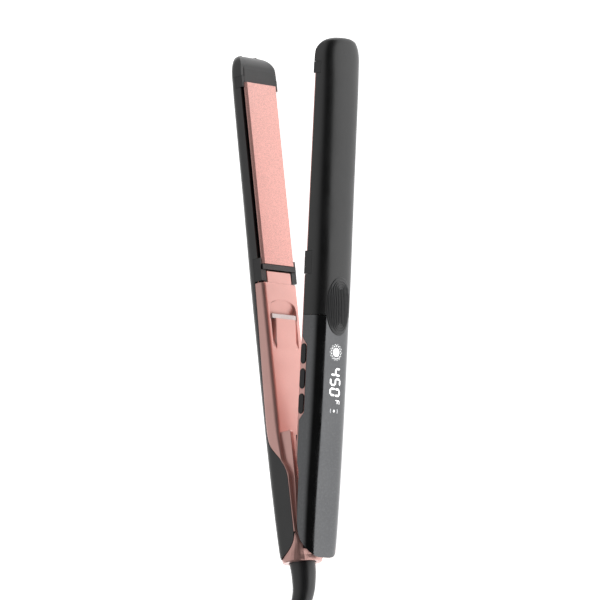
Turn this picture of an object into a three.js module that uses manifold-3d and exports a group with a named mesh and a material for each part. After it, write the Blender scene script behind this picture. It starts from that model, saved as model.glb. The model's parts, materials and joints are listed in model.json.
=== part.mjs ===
// Flat iron (hair straightener) with floating plates, an ion outlet, three side
// buttons and a display, lying on its side with its arms open.
//
// Millimetres. Z = 0 is the surface that the iron lies on, and the origin is there under
// the middle of the open iron. The hinge axis is upright. The lower arm lies along +Y
// with its plate facing +X, and the upper arm swings about the hinge towards it.
//
// Each arm is drawn in its own terms: "along" is the distance from the end of the
// hinge collar towards the tips, "out" is the distance outwards from the plane where
// the two plates meet, and "across" is the distance from the middle of the arm.

import * as THREE from 'three';
import { mergeVertices } from 'three/addons/utils/BufferGeometryUtils.js';
import Module from 'manifold-3d';

const wasm = await Module();
wasm.setup();

// ---------------------------------------------------------------- dimensions

const LENGTH = 306; // collar end to tips
const HALF_WIDTH = 15;
const HINGE = 12; // hinge axis, from the collar end
const OPEN_ANGLE = THREE.MathUtils.degToRad(11.5);
const MIDDLE_X = 27.34; // middle of the open iron's box, from the meeting plane of the lower arm
const MIDDLE_ALONG = 152.82;

const SHELL_START = 1.2;
const END_RADIUS = 2.5; // rounding of the hinge end and the tip
const SKIRT = -8; // how far past the meeting plane a section is drawn
const ARC_STEPS = 16;

const WALL = 1.8; // outer shells
const LINER = 2.2; // inner housings
const GAP = 0.3; // between neighbouring pieces
const SIDE_HEIGHT = 6.5; // flat side of the section, before it rounds over
const SECTION_POWER = 2.35; // roundness of the outer section
const INNER_RADIUS = 2.8; // rounding along the inner edges of the housings

const PLATE_START = 177;
const PLATE_END = 287;
const PLATE_FACE = 0.15; // plate face, out from the meeting plane
const PLATE_THICKNESS = 1.75;
const PLATE_HALF_FACE = 12.2;
const PLATE_HALF_WIDTH = 13.4;
const PLATE_BEVEL = 1.1;
const PLATE_LEG_INNER = 6.4; // legs that hold the heater, across
const PLATE_LEG_OUTER = 7.6;
const PLATE_LEG_BACK = 5.6;

const BAR_START = 173.6; // crossbar of the plate frame
const BAR_END = 176.7;
const LUG_TOP = 7; // how far out the side lugs of the frame reach
const SLOT_EDGE = 3.3; // edge of the shell's side beside the plate
const TIP_LIP = 1.3; // frame face at the tip, out from the meeting plane
const RAMP_START = 295.5;
const RAMP_DROP = 10.6;

const SHOULDER = 166.3; // where the housing narrows to its neck
const NECK_HALF_WIDTH = 10.5;
const LOWER_FACE = 1; // inner face of the lower housing, out from the plane
const UPPER_FACE = 0.4;

const CHEEK_INNER = 9.8; // guide cheeks of the lower arm, across
const CHEEK_OUTER = 12.4;
const CHEEK_HEIGHT = 6.8; // past the meeting plane
const CHEEK_END = 76;
const RIM_HEIGHT = 4.3; // rim of the lower housing beside the hinge

const COLLAR_CENTRE = 5.4; // collar and cord axis, out from the meeting plane
const COLLAR_END = 16;
const EAR_INNER = 7.2; // hinge ears of the upper arm, across
const EAR_OUTER = 9.5;
const EAR_RADIUS = 5;
const PIN_RADIUS = 1.8;

const PANEL_EDGE = 143; // joint between the matte shell and the glossy panel
const PAD_CENTRE = 148.7;
const PAD_HALF_LENGTH = 17;
const PAD_HALF_WIDTH = 9.6;

const NOZZLE_FOOT = 126;
const NOZZLE_MOUTH = 144.2;
const NOZZLE_TOP = -0.7;
const SCOOP_END = 156;
const SCOOP_DEPTH = 4.6;
const SCOOP_HALF_WIDTH = 10.4;

const CLAMP_ALONG = 40;
const CLAMP_HOLE_ACROSS = 6.4;

const BUTTON_CENTRES = [91.1, 105.7, 120.3];
const BUTTON_LENGTH = 11.4;
const BUTTON_HEIGHT = 3.6;
const BUTTON_OUT = 4.2;
const BUTTON_PROUD = 0.5;

const CORD_RADIUS = 3;
const COIL_RADIUS = 33; // middle of the coil's turns
const COIL_BUILD = 9.3; // half the width of the coil's band
const COIL_HEIGHT = 18.3;
const COIL_CENTRE = new THREE.Vector2(-45, -82);
const BOOT_SHARE = 0.64; // share of the cord's route inside the strain relief
const BOOT_RADIUS = 7.85;
const BOOT_TIP_RADIUS = 4.3;
const LEAD_SHARE = 0.76; // where the lead meets the coil

const PLUG_START = 7;
const PLUG_LENGTH = 36;
const PLUG_ALONG = -122.4;
const PLUG_HEIGHT = 7.2;
const PRONG_ACROSS = 6.35;
const PRONG_LENGTH = 17;

const LOWER = -1;
const UPPER = 1;

// ----------------------------------------------------------------- materials

const finishes = {
  blackShell: [0x1d1e20, 0.42, 0],
  glossyPanel: [0x3a3c3f, 0.12, 0],
  blackNylon: [0x151617, 0.55, 0],
  roseGold: [0xd98f80, 0.32, 0.35],
  rosePlate: [0xe3a79a, 0.3, 0.6],
  clearBar: [0xd5d2d0, 0.1, 0.4],
  rubber: [0x17181a, 0.7, 0],
  steel: [0xb4b6b8, 0.3, 1],
  brass: [0xc9a24b, 0.35, 1],
  ceramic: [0xe8e4dc, 0.6, 0],
  board: [0x1f5a36, 0.5, 0],
  darkPart: [0x202226, 0.5, 0],
  silicone: [0xb8492f, 0.7, 0],
  cordSheath: [0x141516, 0.6, 0],
};

function finish(name) {
  const [color, roughness, metalness] = finishes[name];
  return new THREE.MeshStandardMaterial({ color, roughness, metalness });
}

// --------------------------------------------------------------- solid tools

function signedVolume(positions, index) {
  const a = new THREE.Vector3();
  const b = new THREE.Vector3();
  const c = new THREE.Vector3();
  let volume = 0;
  for (let i = 0; i < index.length; i += 3) {
    a.fromArray(positions, 3 * index[i]);
    b.fromArray(positions, 3 * index[i + 1]);
    c.fromArray(positions, 3 * index[i + 2]);
    volume += a.dot(b.cross(c));
  }
  return volume;
}

function toSolid(geometry) {
  const bare = geometry.clone();
  bare.deleteAttribute('normal');
  bare.deleteAttribute('uv');
  const merged = mergeVertices(bare, 1e-4);
  const positions = new Float32Array(merged.attributes.position.array);
  const index = new Uint32Array(merged.index.array);
  if (signedVolume(positions, index) < 0) {
    for (let i = 0; i < index.length; i += 3) {
      [index[i], index[i + 1]] = [index[i + 1], index[i]];
    }
  }
  const mesh = new wasm.Mesh({ numProp: 3, vertProperties: positions, triVerts: index });
  return new wasm.Manifold(mesh);
}

function toGeometry(solid) {
  const { vertProperties, triVerts } = solid.getMesh();
  const geometry = new THREE.BufferGeometry();
  geometry.setAttribute('position', new THREE.BufferAttribute(vertProperties, 3));
  geometry.setIndex(new THREE.BufferAttribute(triVerts, 1));
  return geometry;
}

// A closed skin through rings of points, with a fan of triangles over each end.
function loft(rings) {
  const count = rings[0].length;
  const vertices = rings.flat();
  const index = [];
  for (let r = 0; r + 1 < rings.length; r += 1) {
    for (let i = 0; i < count; i += 1) {
      const a = r * count + i;
      const b = r * count + ((i + 1) % count);
      index.push(a, b, a + count, b, b + count, a + count);
    }
  }
  const last = (rings.length - 1) * count;
  [0, last].forEach((start) => {
    const middle = vertices.length;
    const sum = new THREE.Vector3();
    for (let i = 0; i < count; i += 1) {
      sum.add(vertices[start + i]);
    }
    vertices.push(sum.divideScalar(count));
    for (let i = 0; i < count; i += 1) {
      const a = start + i;
      const b = start + ((i + 1) % count);
      index.push(...(start === 0 ? [middle, b, a] : [middle, a, b]));
    }
  });
  const geometry = new THREE.BufferGeometry();
  const positions = vertices.flatMap((vertex) => vertex.toArray());
  geometry.setAttribute('position', new THREE.Float32BufferAttribute(positions, 3));
  geometry.setIndex(index);
  return toSolid(geometry);
}

function box(x0, x1, y0, y1, z0, z1) {
  const geometry = new THREE.BoxGeometry(Math.abs(x1 - x0), y1 - y0, z1 - z0);
  geometry.translate((x0 + x1) / 2, (y0 + y1) / 2, (z0 + z1) / 2);
  return toSolid(geometry);
}

// An upright cylinder, axis along Z.
function post(x, y, z0, z1, radius, segments = 16) {
  const geometry = new THREE.CylinderGeometry(radius, radius, z1 - z0, segments);
  geometry.rotateX(Math.PI / 2);
  geometry.translate(x, y, (z0 + z1) / 2);
  return toSolid(geometry);
}

// A cylinder with its axis along Y.
function rod(x, y0, y1, z, radius, segments = 12) {
  const geometry = new THREE.CylinderGeometry(radius, radius, y1 - y0, segments);
  geometry.translate(x, (y0 + y1) / 2, z);
  return toSolid(geometry);
}

// A cylinder with its axis along X.
function stud(x0, x1, y, z, radius, segments = 12) {
  const geometry = new THREE.CylinderGeometry(radius, radius, Math.abs(x1 - x0), segments);
  geometry.rotateZ(Math.PI / 2);
  geometry.translate((x0 + x1) / 2, y, z);
  return toSolid(geometry);
}

function joinAll(...solids) {
  return solids.reduce((whole, solid) => whole.add(solid));
}

function cutAll(solid, ...cutters) {
  return cutters.reduce((rest, cutter) => rest.subtract(cutter), solid);
}

// A flat outline of [along, out] points, made solid across the arm.
function slab(side, outline, across0 = -20, across1 = 20) {
  const shape = new THREE.Shape(outline.map(([along, out]) => new THREE.Vector2(side * out, along)));
  const geometry = new THREE.ExtrudeGeometry(shape, { depth: across1 - across0, bevelEnabled: false });
  geometry.translate(0, 0, across0);
  return toSolid(geometry);
}

// A flat outline of [out, across] points, made solid along the arm.
function bar(side, outline, along0, along1) {
  const shape = new THREE.Shape(outline.map(([out, across]) => new THREE.Vector2(side * out, across)));
  const geometry = new THREE.ExtrudeGeometry(shape, { depth: along1 - along0, bevelEnabled: false });
  geometry.rotateX(Math.PI / 2);
  geometry.translate(0, along1, 0);
  return toSolid(geometry);
}

// Smooth values through [along, value] points, never beyond the values beside them.
function profile(points) {
  const rise = points.slice(1).map(([along, value], i) => (value - points[i][1]) / (along - points[i][0]));
  const slopes = points.map((point, i) => {
    const before = rise[i - 1] ?? 0;
    const after = rise[i] ?? 0;
    return before * after > 0 ? (2 * before * after) / (before + after) : 0;
  });
  return (along) => {
    const place = THREE.MathUtils.clamp(along, points[0][0], points[points.length - 1][0]);
    const i = Math.max(1, points.findIndex(([end]) => end >= place)) - 1;
    const width = points[i + 1][0] - points[i][0];
    const t = (place - points[i][0]) / width;
    return points[i][1] * (1 + 2 * t) * (1 - t) ** 2 + points[i + 1][1] * t * t * (3 - 2 * t)
      + width * (slopes[i] * t * (1 - t) ** 2 + slopes[i + 1] * t * t * (t - 1));
  };
}

// A smooth line through points, with a few steps between each two of them.
function smoothLine(points, steps = 4) {
  const curve = new THREE.SplineCurve(points.map(([a, b]) => new THREE.Vector2(a, b)));
  return curve.getPoints(steps * (points.length - 1)).map((p) => [p.x, p.y]);
}

// ------------------------------------------------------------ shape of an arm

const STATIONS = [1.2, 1.6, 2.4, 3.7, 8, 15, 25, 50, 95, 155, 215, 275, 290, 297, 301, 303.5, 305.2, 306];

const crown = profile([
  [1, 15], [6, 15.3], [35, 16], [95, 17], [155, 17], [215, 16], [275, 15.2], [292, 14.5], [306, 13.8],
]);
const halfWidth = profile([
  [1, 13.6], [8, 14.1], [25, 14.7], [50, HALF_WIDTH], [292, HALF_WIDTH], [LENGTH, 12.6],
]);

function endRounding(along) {
  const depth = Math.max(0, END_RADIUS - Math.min(along - SHELL_START, LENGTH - along));
  return END_RADIUS - Math.sqrt(END_RADIUS ** 2 - depth ** 2);
}

// Section of an arm at one place: flat sides and a rounded outer face.
function section(side, along, inset) {
  const shrink = inset + endRounding(along);
  const width = halfWidth(along) - shrink;
  const top = crown(along) - shrink;
  const points = [[SKIRT, width]];
  for (let i = 0; i <= ARC_STEPS; i += 1) {
    const angle = (Math.PI * i) / ARC_STEPS;
    const cosine = Math.cos(angle);
    const rise = Math.abs(Math.sin(angle)) ** (2 / SECTION_POWER);
    const reach = Math.sign(cosine) * Math.abs(cosine) ** (2 / SECTION_POWER);
    points.push([SIDE_HEIGHT + (top - SIDE_HEIGHT) * rise, width * reach]);
  }
  points.push([SKIRT, -width]);
  return points.map(([out, across]) => new THREE.Vector3(side * out, along, across));
}

// The solid outer form of an arm, drawn in by inset, between two places.
function envelope(side, inset, from = SHELL_START, to = LENGTH) {
  const between = STATIONS.filter((along) => along > from + 0.2 && along < to - 0.2);
  return loft([from, ...between, to].map((along) => section(side, along, inset)));
}

// The ramp at the tips, from the lip of the frame down to the outer shell.
function rampLine() {
  const points = [];
  for (let i = 0; i <= 6; i += 1) {
    const angle = (Math.PI / 2) * (i / 6);
    const along = RAMP_START + (LENGTH - RAMP_START) * Math.sin(angle);
    points.push([along, TIP_LIP + RAMP_DROP * (1 - Math.cos(angle))]);
  }
  return points;
}

// Edge of the black shell of each arm, from the hinge end to the shoulder.
const lowerEdge = smoothLine([
  [0.2, 17], [1.2, 13.2], [2.8, 9], [5.4, 4], [9.5, -0.8], [14, -3], [22, -3.5], [44, -3.6], [50.5, -3.2],
  [55.5, -1.6], [60, 1.2], [64.5, 5], [70, 8.6], [79, 10], [96, 9.6], [130, 8.3], [156, 7.5], [SHOULDER, 7.3],
]);
const upperEdge = [
  ...smoothLine([
    [0.2, 16.4], [1.8, 15], [5, 12.8], [8.4, 10.4], [12, 7.8], [16, 5.9], [21, 5], [30, 4.7], [48, 4.6],
    [52.5, 4.3], [57, 3], [62, 2.9], [81.5, 2.9],
  ]),
  [86, 6.6], [125.4, 6.6], [130, 2.7], [SHOULDER, 2.2],
];

function shifted(line, step) {
  return line.map(([along, out]) => [along, out + step]);
}

// Everything on the inner side of a shell's edge, up to the shoulder.
function insideOf(side, edge) {
  const line = shifted(edge, -GAP / 2);
  const end = line[line.length - 1];
  return slab(side, [[-1, -15], [end[0], -15], ...line.slice().reverse(), [-1, line[0][1]]]);
}

// The black shell of an arm: a thin wall with its edge cut to shape.
function shell(side, edge) {
  const wall = envelope(side, 0).subtract(envelope(side, WALL, SHELL_START + WALL, LENGTH - 2.4));
  const lugEdge = LUG_TOP + GAP;
  const outline = [
    [-1, edge[0][1] + 2],
    ...shifted(edge, GAP / 2),
    [SHOULDER + 0.1, lugEdge],
    [180.6, lugEdge],
    [180.6, SLOT_EDGE],
    [284, SLOT_EDGE],
    [284, lugEdge],
    [291.3, lugEdge],
    [291.3, TIP_LIP + GAP],
    ...rampLine().slice(1),
    [LENGTH + 1, TIP_LIP + RAMP_DROP],
    [LENGTH + 1, 25],
    [-1, 25],
  ];
  return wall.intersect(slab(side, outline));
}

// Inner side of a housing: a face with rounded edges, at its own height at each place.
function innerMould(side, faceAt, radiusAt, places) {
  const width = HALF_WIDTH + 0.2;
  return loft(places.map((along) => {
    const face = faceAt(along);
    const radius = radiusAt(along);
    const edge = halfWidth(along);
    const points = [];
    for (let i = 0; i <= 4; i += 1) {
      const angle = (Math.PI / 2) * (i / 4);
      points.push([face + radius * (1 - Math.sin(angle)), edge - radius * (1 - Math.cos(angle))]);
    }
    const outline = [
      [25, width],
      [face + radius + 0.2, width],
      ...points,
      ...points.map(([out, across]) => [out, -across]).reverse(),
      [face + radius + 0.2, -width],
      [25, -width],
    ];
    return outline.map(([out, across]) => new THREE.Vector3(side * out, along, across));
  }));
}

// --------------------------------------------------------- parts of both arms

function plateFrame(side) {
  const tray = box(side * 3.2, side * 5.4, BAR_START, 290, -12.8, 12.8);
  const opening = box(side * 2, side * 7, 178.4, 286.4, -9.2, 9.2);
  const crossbar = box(side * 0.4, side * 5.4, BAR_START, BAR_END, -14, 14);
  const floor = box(side * 8.6, side * 10, BAR_START, 292, -9.6, 9.6);
  const posts = [BAR_START, 289].flatMap((along) =>
    [-9.6, 7.6].map((across) => box(side * 5, side * 9, along, along + 2.6, across, across + 2)));
  const lugs = [[SHOULDER + 0.5, 180.3], [284.3, 291]].flatMap(([from, to]) =>
    [[-HALF_WIDTH, -11], [11, HALF_WIDTH]].map(([near, far]) =>
      box(side * 1.4, side * LUG_TOP, from, to, near, far)));
  const lip = slab(side, [[287.5, TIP_LIP], ...rampLine(), [301, 11.9], [290, 7.5], [287.5, 7]]);
  const tip = lip.intersect(envelope(side, WALL + GAP, 280, LENGTH - 2.8));
  const plateRoom = box(side * 1, side * 3, PLATE_START - GAP, PLATE_END + GAP, -13.8, 13.8);
  return joinAll(cutAll(tray, opening), crossbar, floor, tip, ...posts, ...lugs).subtract(plateRoom);
}

function plate(side) {
  const back = PLATE_FACE + PLATE_THICKNESS;
  const outline = [
    [PLATE_FACE, -PLATE_HALF_FACE],
    [PLATE_FACE, PLATE_HALF_FACE],
    [PLATE_FACE + PLATE_BEVEL, PLATE_HALF_WIDTH],
    [back, PLATE_HALF_WIDTH],
    [back, PLATE_LEG_OUTER],
    [PLATE_LEG_BACK, PLATE_LEG_OUTER],
    [PLATE_LEG_BACK, PLATE_LEG_INNER],
    [back, PLATE_LEG_INNER],
    [back, -PLATE_LEG_INNER],
    [PLATE_LEG_BACK, -PLATE_LEG_INNER],
    [PLATE_LEG_BACK, -PLATE_LEG_OUTER],
    [back, -PLATE_LEG_OUTER],
    [back, -PLATE_HALF_WIDTH],
    [PLATE_FACE + PLATE_BEVEL, -PLATE_HALF_WIDTH],
  ];
  const blank = bar(side, outline, PLATE_START, PLATE_END);
  const ends = [[PLATE_START - 1, 179], [285.8, PLATE_END + 1]].map(([from, to]) =>
    box(side * back, side * 7, from, to, -8, 8));
  return cutAll(blank, ...ends);
}

function heater(side) {
  return box(side * 2.3, side * 4.3, 192, 272, -6, 6);
}

function heaterClip(side) {
  const waves = [[188, 4.6], [204, 5.1], [218, 4.6], [232, 5.1], [246, 4.6], [260, 5.1], [276, 4.6]];
  const bow = smoothLine(waves, 3);
  const thickness = 0.5;
  return slab(side, [...bow, ...shifted(bow, thickness).reverse()], -5, 5);
}

// A leaf spring under each end of the plate, which lets it float.
function floatSpring(side, middle) {
  const bow = [[-11, 8.2], [-5, 7.4], [0, 6.95], [5, 7.4], [11, 8.2]];
  const leaf = smoothLine(bow.map(([step, out]) => [middle + step, out]), 3);
  return slab(side, [...leaf, ...shifted(leaf, 0.4).reverse()], -6.5, 6.5);
}

function thermalFuse(side) {
  return rod(side * 11.9, 196, 210, 5, 1.6, 10);
}

// -------------------------------------------------------- parts of the lower arm

function bothSides(make) {
  return make(1).add(make(-1));
}

// Where a piece lies across the arm at the near end (1) or the far end (-1) of the hinge.
function span(end, near, far) {
  return end > 0 ? [near, far] : [-far, -near];
}

function hingeBore(radius) {
  return post(0, HINGE, -20, 20, radius);
}

function lowerHousing() {
  const start = COLLAR_END + GAP;
  const wallBack = LOWER_FACE + LINER;
  const floorBack = profile([[start, 2.1], [60, 2.1], [80, wallBack], [SHOULDER, wallBack]]);
  const faceAt = profile([
    [start, -RIM_HEIGHT], [49, -RIM_HEIGHT], [55, -2.4], [60, 0.1], [66, 0.6], [CHEEK_END, LOWER_FACE],
    [SHOULDER, LOWER_FACE],
  ]);
  const radiusAt = profile([[start, 0.4], [56, 0.5], [84, INNER_RADIUS], [SHOULDER, INNER_RADIUS]]);
  const places = [start, 30, 44, 49, 52, 55, 57.5, 60, 63, 66, 71, 76, 84, 110, SHOULDER];
  const backLine = places.map((along) => [along, floorBack(along)]);
  const sideWalls = envelope(LOWER, 0, start, SHOULDER)
    .intersect(insideOf(LOWER, lowerEdge));
  const floor = envelope(LOWER, WALL + GAP, start, SHOULDER)
    .intersect(slab(LOWER, [[start, -8], [SHOULDER, -8], ...backLine.slice().reverse()]));
  const cavityLine = [
    ...backLine, [SHOULDER + 2, wallBack], [SHOULDER + 2, 25], [start - 1, 25], [start - 1, 2.1],
  ];
  const cavity = envelope(LOWER, LINER, start - 0.1, SHOULDER + 0.1).intersect(slab(LOWER, cavityLine));
  const tray = cutAll(sideWalls, cavity).add(floor).intersect(innerMould(LOWER, faceAt, radiusAt, places));
  const channel = box(-0.4, 9, start - 1, 78, -CHEEK_INNER, CHEEK_INNER);
  const neck = box(-LOWER_FACE, -9, SHOULDER - 2, BAR_START - GAP, -NECK_HALF_WIDTH, NECK_HALF_WIDTH);
  const neckBore = box(-3.2, -10, SHOULDER - 3, BAR_START, -NECK_HALF_WIDTH + 2, NECK_HALF_WIDTH - 2);
  const cheekOutline = [
    [start, 2.4], [start, -4], [30, -5.5], [45, -6.6], [57, -CHEEK_HEIGHT], [CHEEK_END - 1, -CHEEK_HEIGHT],
    [CHEEK_END, -6], [CHEEK_END, 2.4],
  ];
  const cheeks = bothSides((end) => slab(LOWER, cheekOutline, ...span(end, CHEEK_INNER, CHEEK_OUTER)));
  const body = joinAll(cutAll(tray, channel), cutAll(neck, neckBore), cheeks);
  const latchSlot = box(0, -4, 71.6, 75.2, -6.2, -0.6);
  const earRoom = post(0, HINGE, -CHEEK_INNER, CHEEK_INNER, EAR_RADIUS + 0.6);
  return cutAll(body.add(ionNozzle()), ionScoop(), latchSlot, earRoom, hingeBore(3));
}

// The hood over the ion outlet: it rises towards its mouth and widens with depth.
function ionNozzle() {
  const outline = [
    [NOZZLE_FOOT, 1.2], [NOZZLE_FOOT, 0.95], [NOZZLE_MOUTH - 1, NOZZLE_TOP], [NOZZLE_MOUTH, NOZZLE_TOP],
    [NOZZLE_MOUTH, 5.6], [NOZZLE_MOUTH - 2, 5.6], [NOZZLE_MOUTH - 6, 3.2],
  ];
  const taper = [[-0.9, -9.4], [-0.9, 9.4], [5.7, 10.6], [5.7, -10.6]];
  return slab(LOWER, outline, -11, 11).intersect(bar(LOWER, taper, NOZZLE_FOOT - 1, NOZZLE_MOUTH + 1));
}

// The recess in front of the nozzle's mouth, deepest at the mouth.
function ionScoop() {
  const foot = NOZZLE_MOUTH + 3;
  const slope = slab(LOWER, [
    [NOZZLE_MOUTH, -2], [SCOOP_END + 1, -2], [SCOOP_END, LOWER_FACE], [foot, SCOOP_DEPTH],
    [NOZZLE_MOUTH, SCOOP_DEPTH],
  ], -12, 12);
  const arch = [new THREE.Vector2(SCOOP_HALF_WIDTH, NOZZLE_MOUTH)];
  for (let i = 0; i <= 10; i += 1) {
    const angle = (Math.PI * i) / 10;
    const along = foot + (SCOOP_END - foot) * Math.sin(angle) ** 0.6;
    arch.push(new THREE.Vector2(SCOOP_HALF_WIDTH * Math.cos(angle), along));
  }
  arch.push(new THREE.Vector2(-SCOOP_HALF_WIDTH, NOZZLE_MOUTH));
  const shape = new THREE.Shape(arch);
  const geometry = new THREE.ExtrudeGeometry(shape, { depth: 12, bevelEnabled: false });
  geometry.rotateY(Math.PI / 2);
  geometry.translate(-8, 0, 0);
  return slope.intersect(toSolid(geometry));
}

function ionBar() {
  const block = box(-0.5, -3.6, NOZZLE_MOUTH + GAP, NOZZLE_MOUTH + 2.9, -10, 10);
  const slots = [-6, -2, 2, 6].map((middle) =>
    box(-1.4, -2.8, NOZZLE_MOUTH, NOZZLE_MOUTH + 3.5, middle - 1.3, middle + 1.3));
  return cutAll(block, ...slots);
}

function ionGenerator() {
  const block = box(-6, -13.5, 96, 122, -8, 8);
  const lead = rod(-7.6, 121, 125, 3, 1.1, 8);
  return block.add(lead);
}

function ionNeedle() {
  return rod(-7.6, 125.3, 141, 3, 0.7, 8).add(box(-6.4, -8.8, 125.3, 127.3, 1.4, 4.6));
}

function bootSocket() {
  return rod(-COLLAR_CENTRE, -1, 5.2, 0, 8.2, 24);
}

// The collar: round at the cord end, and as deep and wide as the arm at the hinge.
function hingeCollar() {
  const shapes = [
    [0, COLLAR_CENTRE, 10.2, 12.2, 2], [0.5, COLLAR_CENTRE, 10.6, 12.6, 2], [1.4, 5.3, 10.6, 12.7, 2.1],
    [3.2, 4.9, 10.3, 12.9, 2.4], [6, 4.6, 10.8, 13.5, 3], [9.5, 4.6, 11.2, 14, 4.5],
    [12.5, 4.8, 10.6, 14.3, 7], [COLLAR_END, 5, 9.3, 14.45, 9],
  ];
  const rings = shapes.map(([along, out, depth, width, power]) => {
    const ring = [];
    for (let i = 0; i < 32; i += 1) {
      const angle = (2 * Math.PI * i) / 32;
      const c = Math.cos(angle);
      const s = Math.sin(angle);
      const x = -out + depth * Math.sign(c) * Math.abs(c) ** (2 / power);
      const z = width * Math.sign(s) * Math.abs(s) ** (2 / power);
      ring.push(new THREE.Vector3(x, along, z));
    }
    return ring;
  });
  const earRoom = post(0, HINGE, -CHEEK_INNER, CHEEK_INNER, EAR_RADIUS + 0.6);
  const way = box(-1.5, 12, HINGE - 5.6, COLLAR_END + 1, -CHEEK_INNER, CHEEK_INNER);
  const cordWay = rod(-COLLAR_CENTRE, 5, COLLAR_END + 1, 0, CORD_RADIUS + 0.4, 12);
  const form = loft(rings);
  const core = form.intersect(envelope(LOWER, WALL + GAP, 3.4, COLLAR_END));
  const body = form.intersect(insideOf(LOWER, lowerEdge)).add(core);
  return cutAll(body, earRoom, way, bootSocket(), cordWay, hingeBore(PIN_RADIUS + GAP));
}

function hingePin(end) {
  const head = EAR_INNER - 0.8;
  const shank = post(0, HINGE, head, 11.8, PIN_RADIUS);
  const pin = shank.add(post(0, HINGE, head - 1.2, head, PIN_RADIUS + 1.2));
  return end > 0 ? pin : pin.scale([1, 1, -1]);
}

function cordClamp() {
  const saddle = box(-2.5, -9.6, CLAMP_ALONG - 4, CLAMP_ALONG + 4, -9, 9);
  const lead = rod(-COLLAR_CENTRE, CLAMP_ALONG - 10, CLAMP_ALONG + 10, 0, CORD_RADIUS + GAP, 12);
  const holes = [-CLAMP_HOLE_ACROSS, CLAMP_HOLE_ACROSS].map((across) =>
    stud(0, -12, CLAMP_ALONG, across, 1.4, 8));
  return cutAll(saddle, lead, ...holes);
}

function clampScrew(end) {
  const across = end * CLAMP_HOLE_ACROSS;
  const shank = stud(-3, -10, CLAMP_ALONG, across, 1, 8);
  const head = stud(-9.9, -11.5, CLAMP_ALONG, across, 2.2, 12);
  const slot = box(-10.9, -12, CLAMP_ALONG - 3, CLAMP_ALONG + 3, across - 0.35, across + 0.35);
  return shank.add(head).subtract(slot);
}

function cordInside() {
  return rod(-COLLAR_CENTRE, 6, 56, 0, CORD_RADIUS, 12);
}

// -------------------------------------------------------- parts of the upper arm

function upperHousing() {
  const start = 60.6;
  const places = [start - 1, 90, 130, SHOULDER];
  const mould = innerMould(UPPER, () => UPPER_FACE, () => INNER_RADIUS, places);
  const back = UPPER_FACE + LINER;
  const sideWalls = envelope(UPPER, 0, start, SHOULDER)
    .intersect(insideOf(UPPER, upperEdge));
  const floor = envelope(UPPER, WALL + GAP, start, SHOULDER)
    .intersect(slab(UPPER, [[start, 0], [SHOULDER, 0], [SHOULDER, back], [start, back]]));
  const cavity = envelope(UPPER, LINER, start - 0.1, SHOULDER + 0.1)
    .intersect(slab(UPPER, [[start - 1, back], [SHOULDER + 1, back], [SHOULDER + 1, 20], [start - 1, 20]]));
  const tray = cutAll(sideWalls, cavity).add(floor).intersect(mould);
  const neck = box(UPPER_FACE, 9, SHOULDER - 2, BAR_START - GAP, -NECK_HALF_WIDTH, NECK_HALF_WIDTH);
  const neckBore = box(back, 10, SHOULDER - 3, BAR_START, -NECK_HALF_WIDTH + 2, NECK_HALF_WIDTH - 2);
  const tongue = box(UPPER_FACE, back, 22, start + 2, -EAR_OUTER, EAR_OUTER);
  const cheekRoom = bothSides((end) =>
    box(-1, 8, 0, CHEEK_END + 2.5, ...span(end, EAR_OUTER - 0.01, CHEEK_OUTER + GAP)));
  const earOutline = [[HINGE, 4.9], [22, 6], [40, 6], [40, UPPER_FACE], [HINGE + 3, UPPER_FACE], [HINGE, 0]];
  const ears = bothSides((end) => {
    const [inner, outer] = span(end, EAR_INNER, EAR_OUTER);
    return slab(UPPER, earOutline, inner, outer).add(post(0, HINGE, inner, outer, EAR_RADIUS, 20));
  });
  const nozzleRoom = box(-1, UPPER_FACE + 1.4, 118, 158, -11.2, 11.2);
  const buttonWays = BUTTON_CENTRES.map((along) => buttonBlock(along, 10, 20, GAP));
  const body = joinAll(cutAll(tray, cheekRoom), cutAll(neck, neckBore), tongue, ears);
  return cutAll(body, nozzleRoom, hingeBore(PIN_RADIUS + GAP), ...buttonWays);
}

// A button's outline, a bar with round ends, made solid across the arm.
function buttonBlock(along, across0, across1, margin) {
  const radius = BUTTON_HEIGHT / 2 + margin;
  const reach = (BUTTON_LENGTH - BUTTON_HEIGHT) / 2;
  const shape = new THREE.Shape();
  shape.absarc(BUTTON_OUT, along + reach, radius, 0, Math.PI);
  shape.absarc(BUTTON_OUT, along - reach, radius, Math.PI, 2 * Math.PI);
  const geometry = new THREE.ExtrudeGeometry(shape, {
    depth: across1 - across0, curveSegments: 6, bevelEnabled: false,
  });
  geometry.translate(0, 0, across0);
  return toSolid(geometry);
}

function button(along) {
  const cap = buttonBlock(along, 12.6, HALF_WIDTH + BUTTON_PROUD, 0);
  const flange = box(BUTTON_OUT - 1.4, BUTTON_OUT + 2.4, along - 6.4, along + 6.4, 11.4, 12.6);
  return cap.add(flange);
}

function tactSwitch(along) {
  const body = box(2.9, 7.2, along - 3, along + 3, 7.6, 10);
  return body.add(box(BUTTON_OUT - 1, BUTTON_OUT + 1, along - 1, along + 1, 10, 10.6));
}

function padShape(margin) {
  const shape = new THREE.Shape();
  shape.absellipse(0, PAD_CENTRE, PAD_HALF_WIDTH + margin, PAD_HALF_LENGTH + margin, 0, 2 * Math.PI);
  const geometry = new THREE.ExtrudeGeometry(shape, { depth: 30, curveSegments: 14, bevelEnabled: false });
  geometry.rotateY(Math.PI / 2);
  return toSolid(geometry);
}

function padRecess() {
  return padShape(GAP).subtract(envelope(UPPER, 0.9, 110, 190));
}

function thumbPad() {
  return padShape(0).intersect(envelope(UPPER, -0.4, 110, 190)).subtract(envelope(UPPER, 0.6, 109, 191));
}

function upperShell(from, to) {
  return shell(UPPER, upperEdge).subtract(padRecess())
    .intersect(box(-5, 25, from, to, -20, 20));
}

function circuitBoard() {
  return box(7.6, 9.2, 58, 138, -10.5, 10.5);
}

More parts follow.
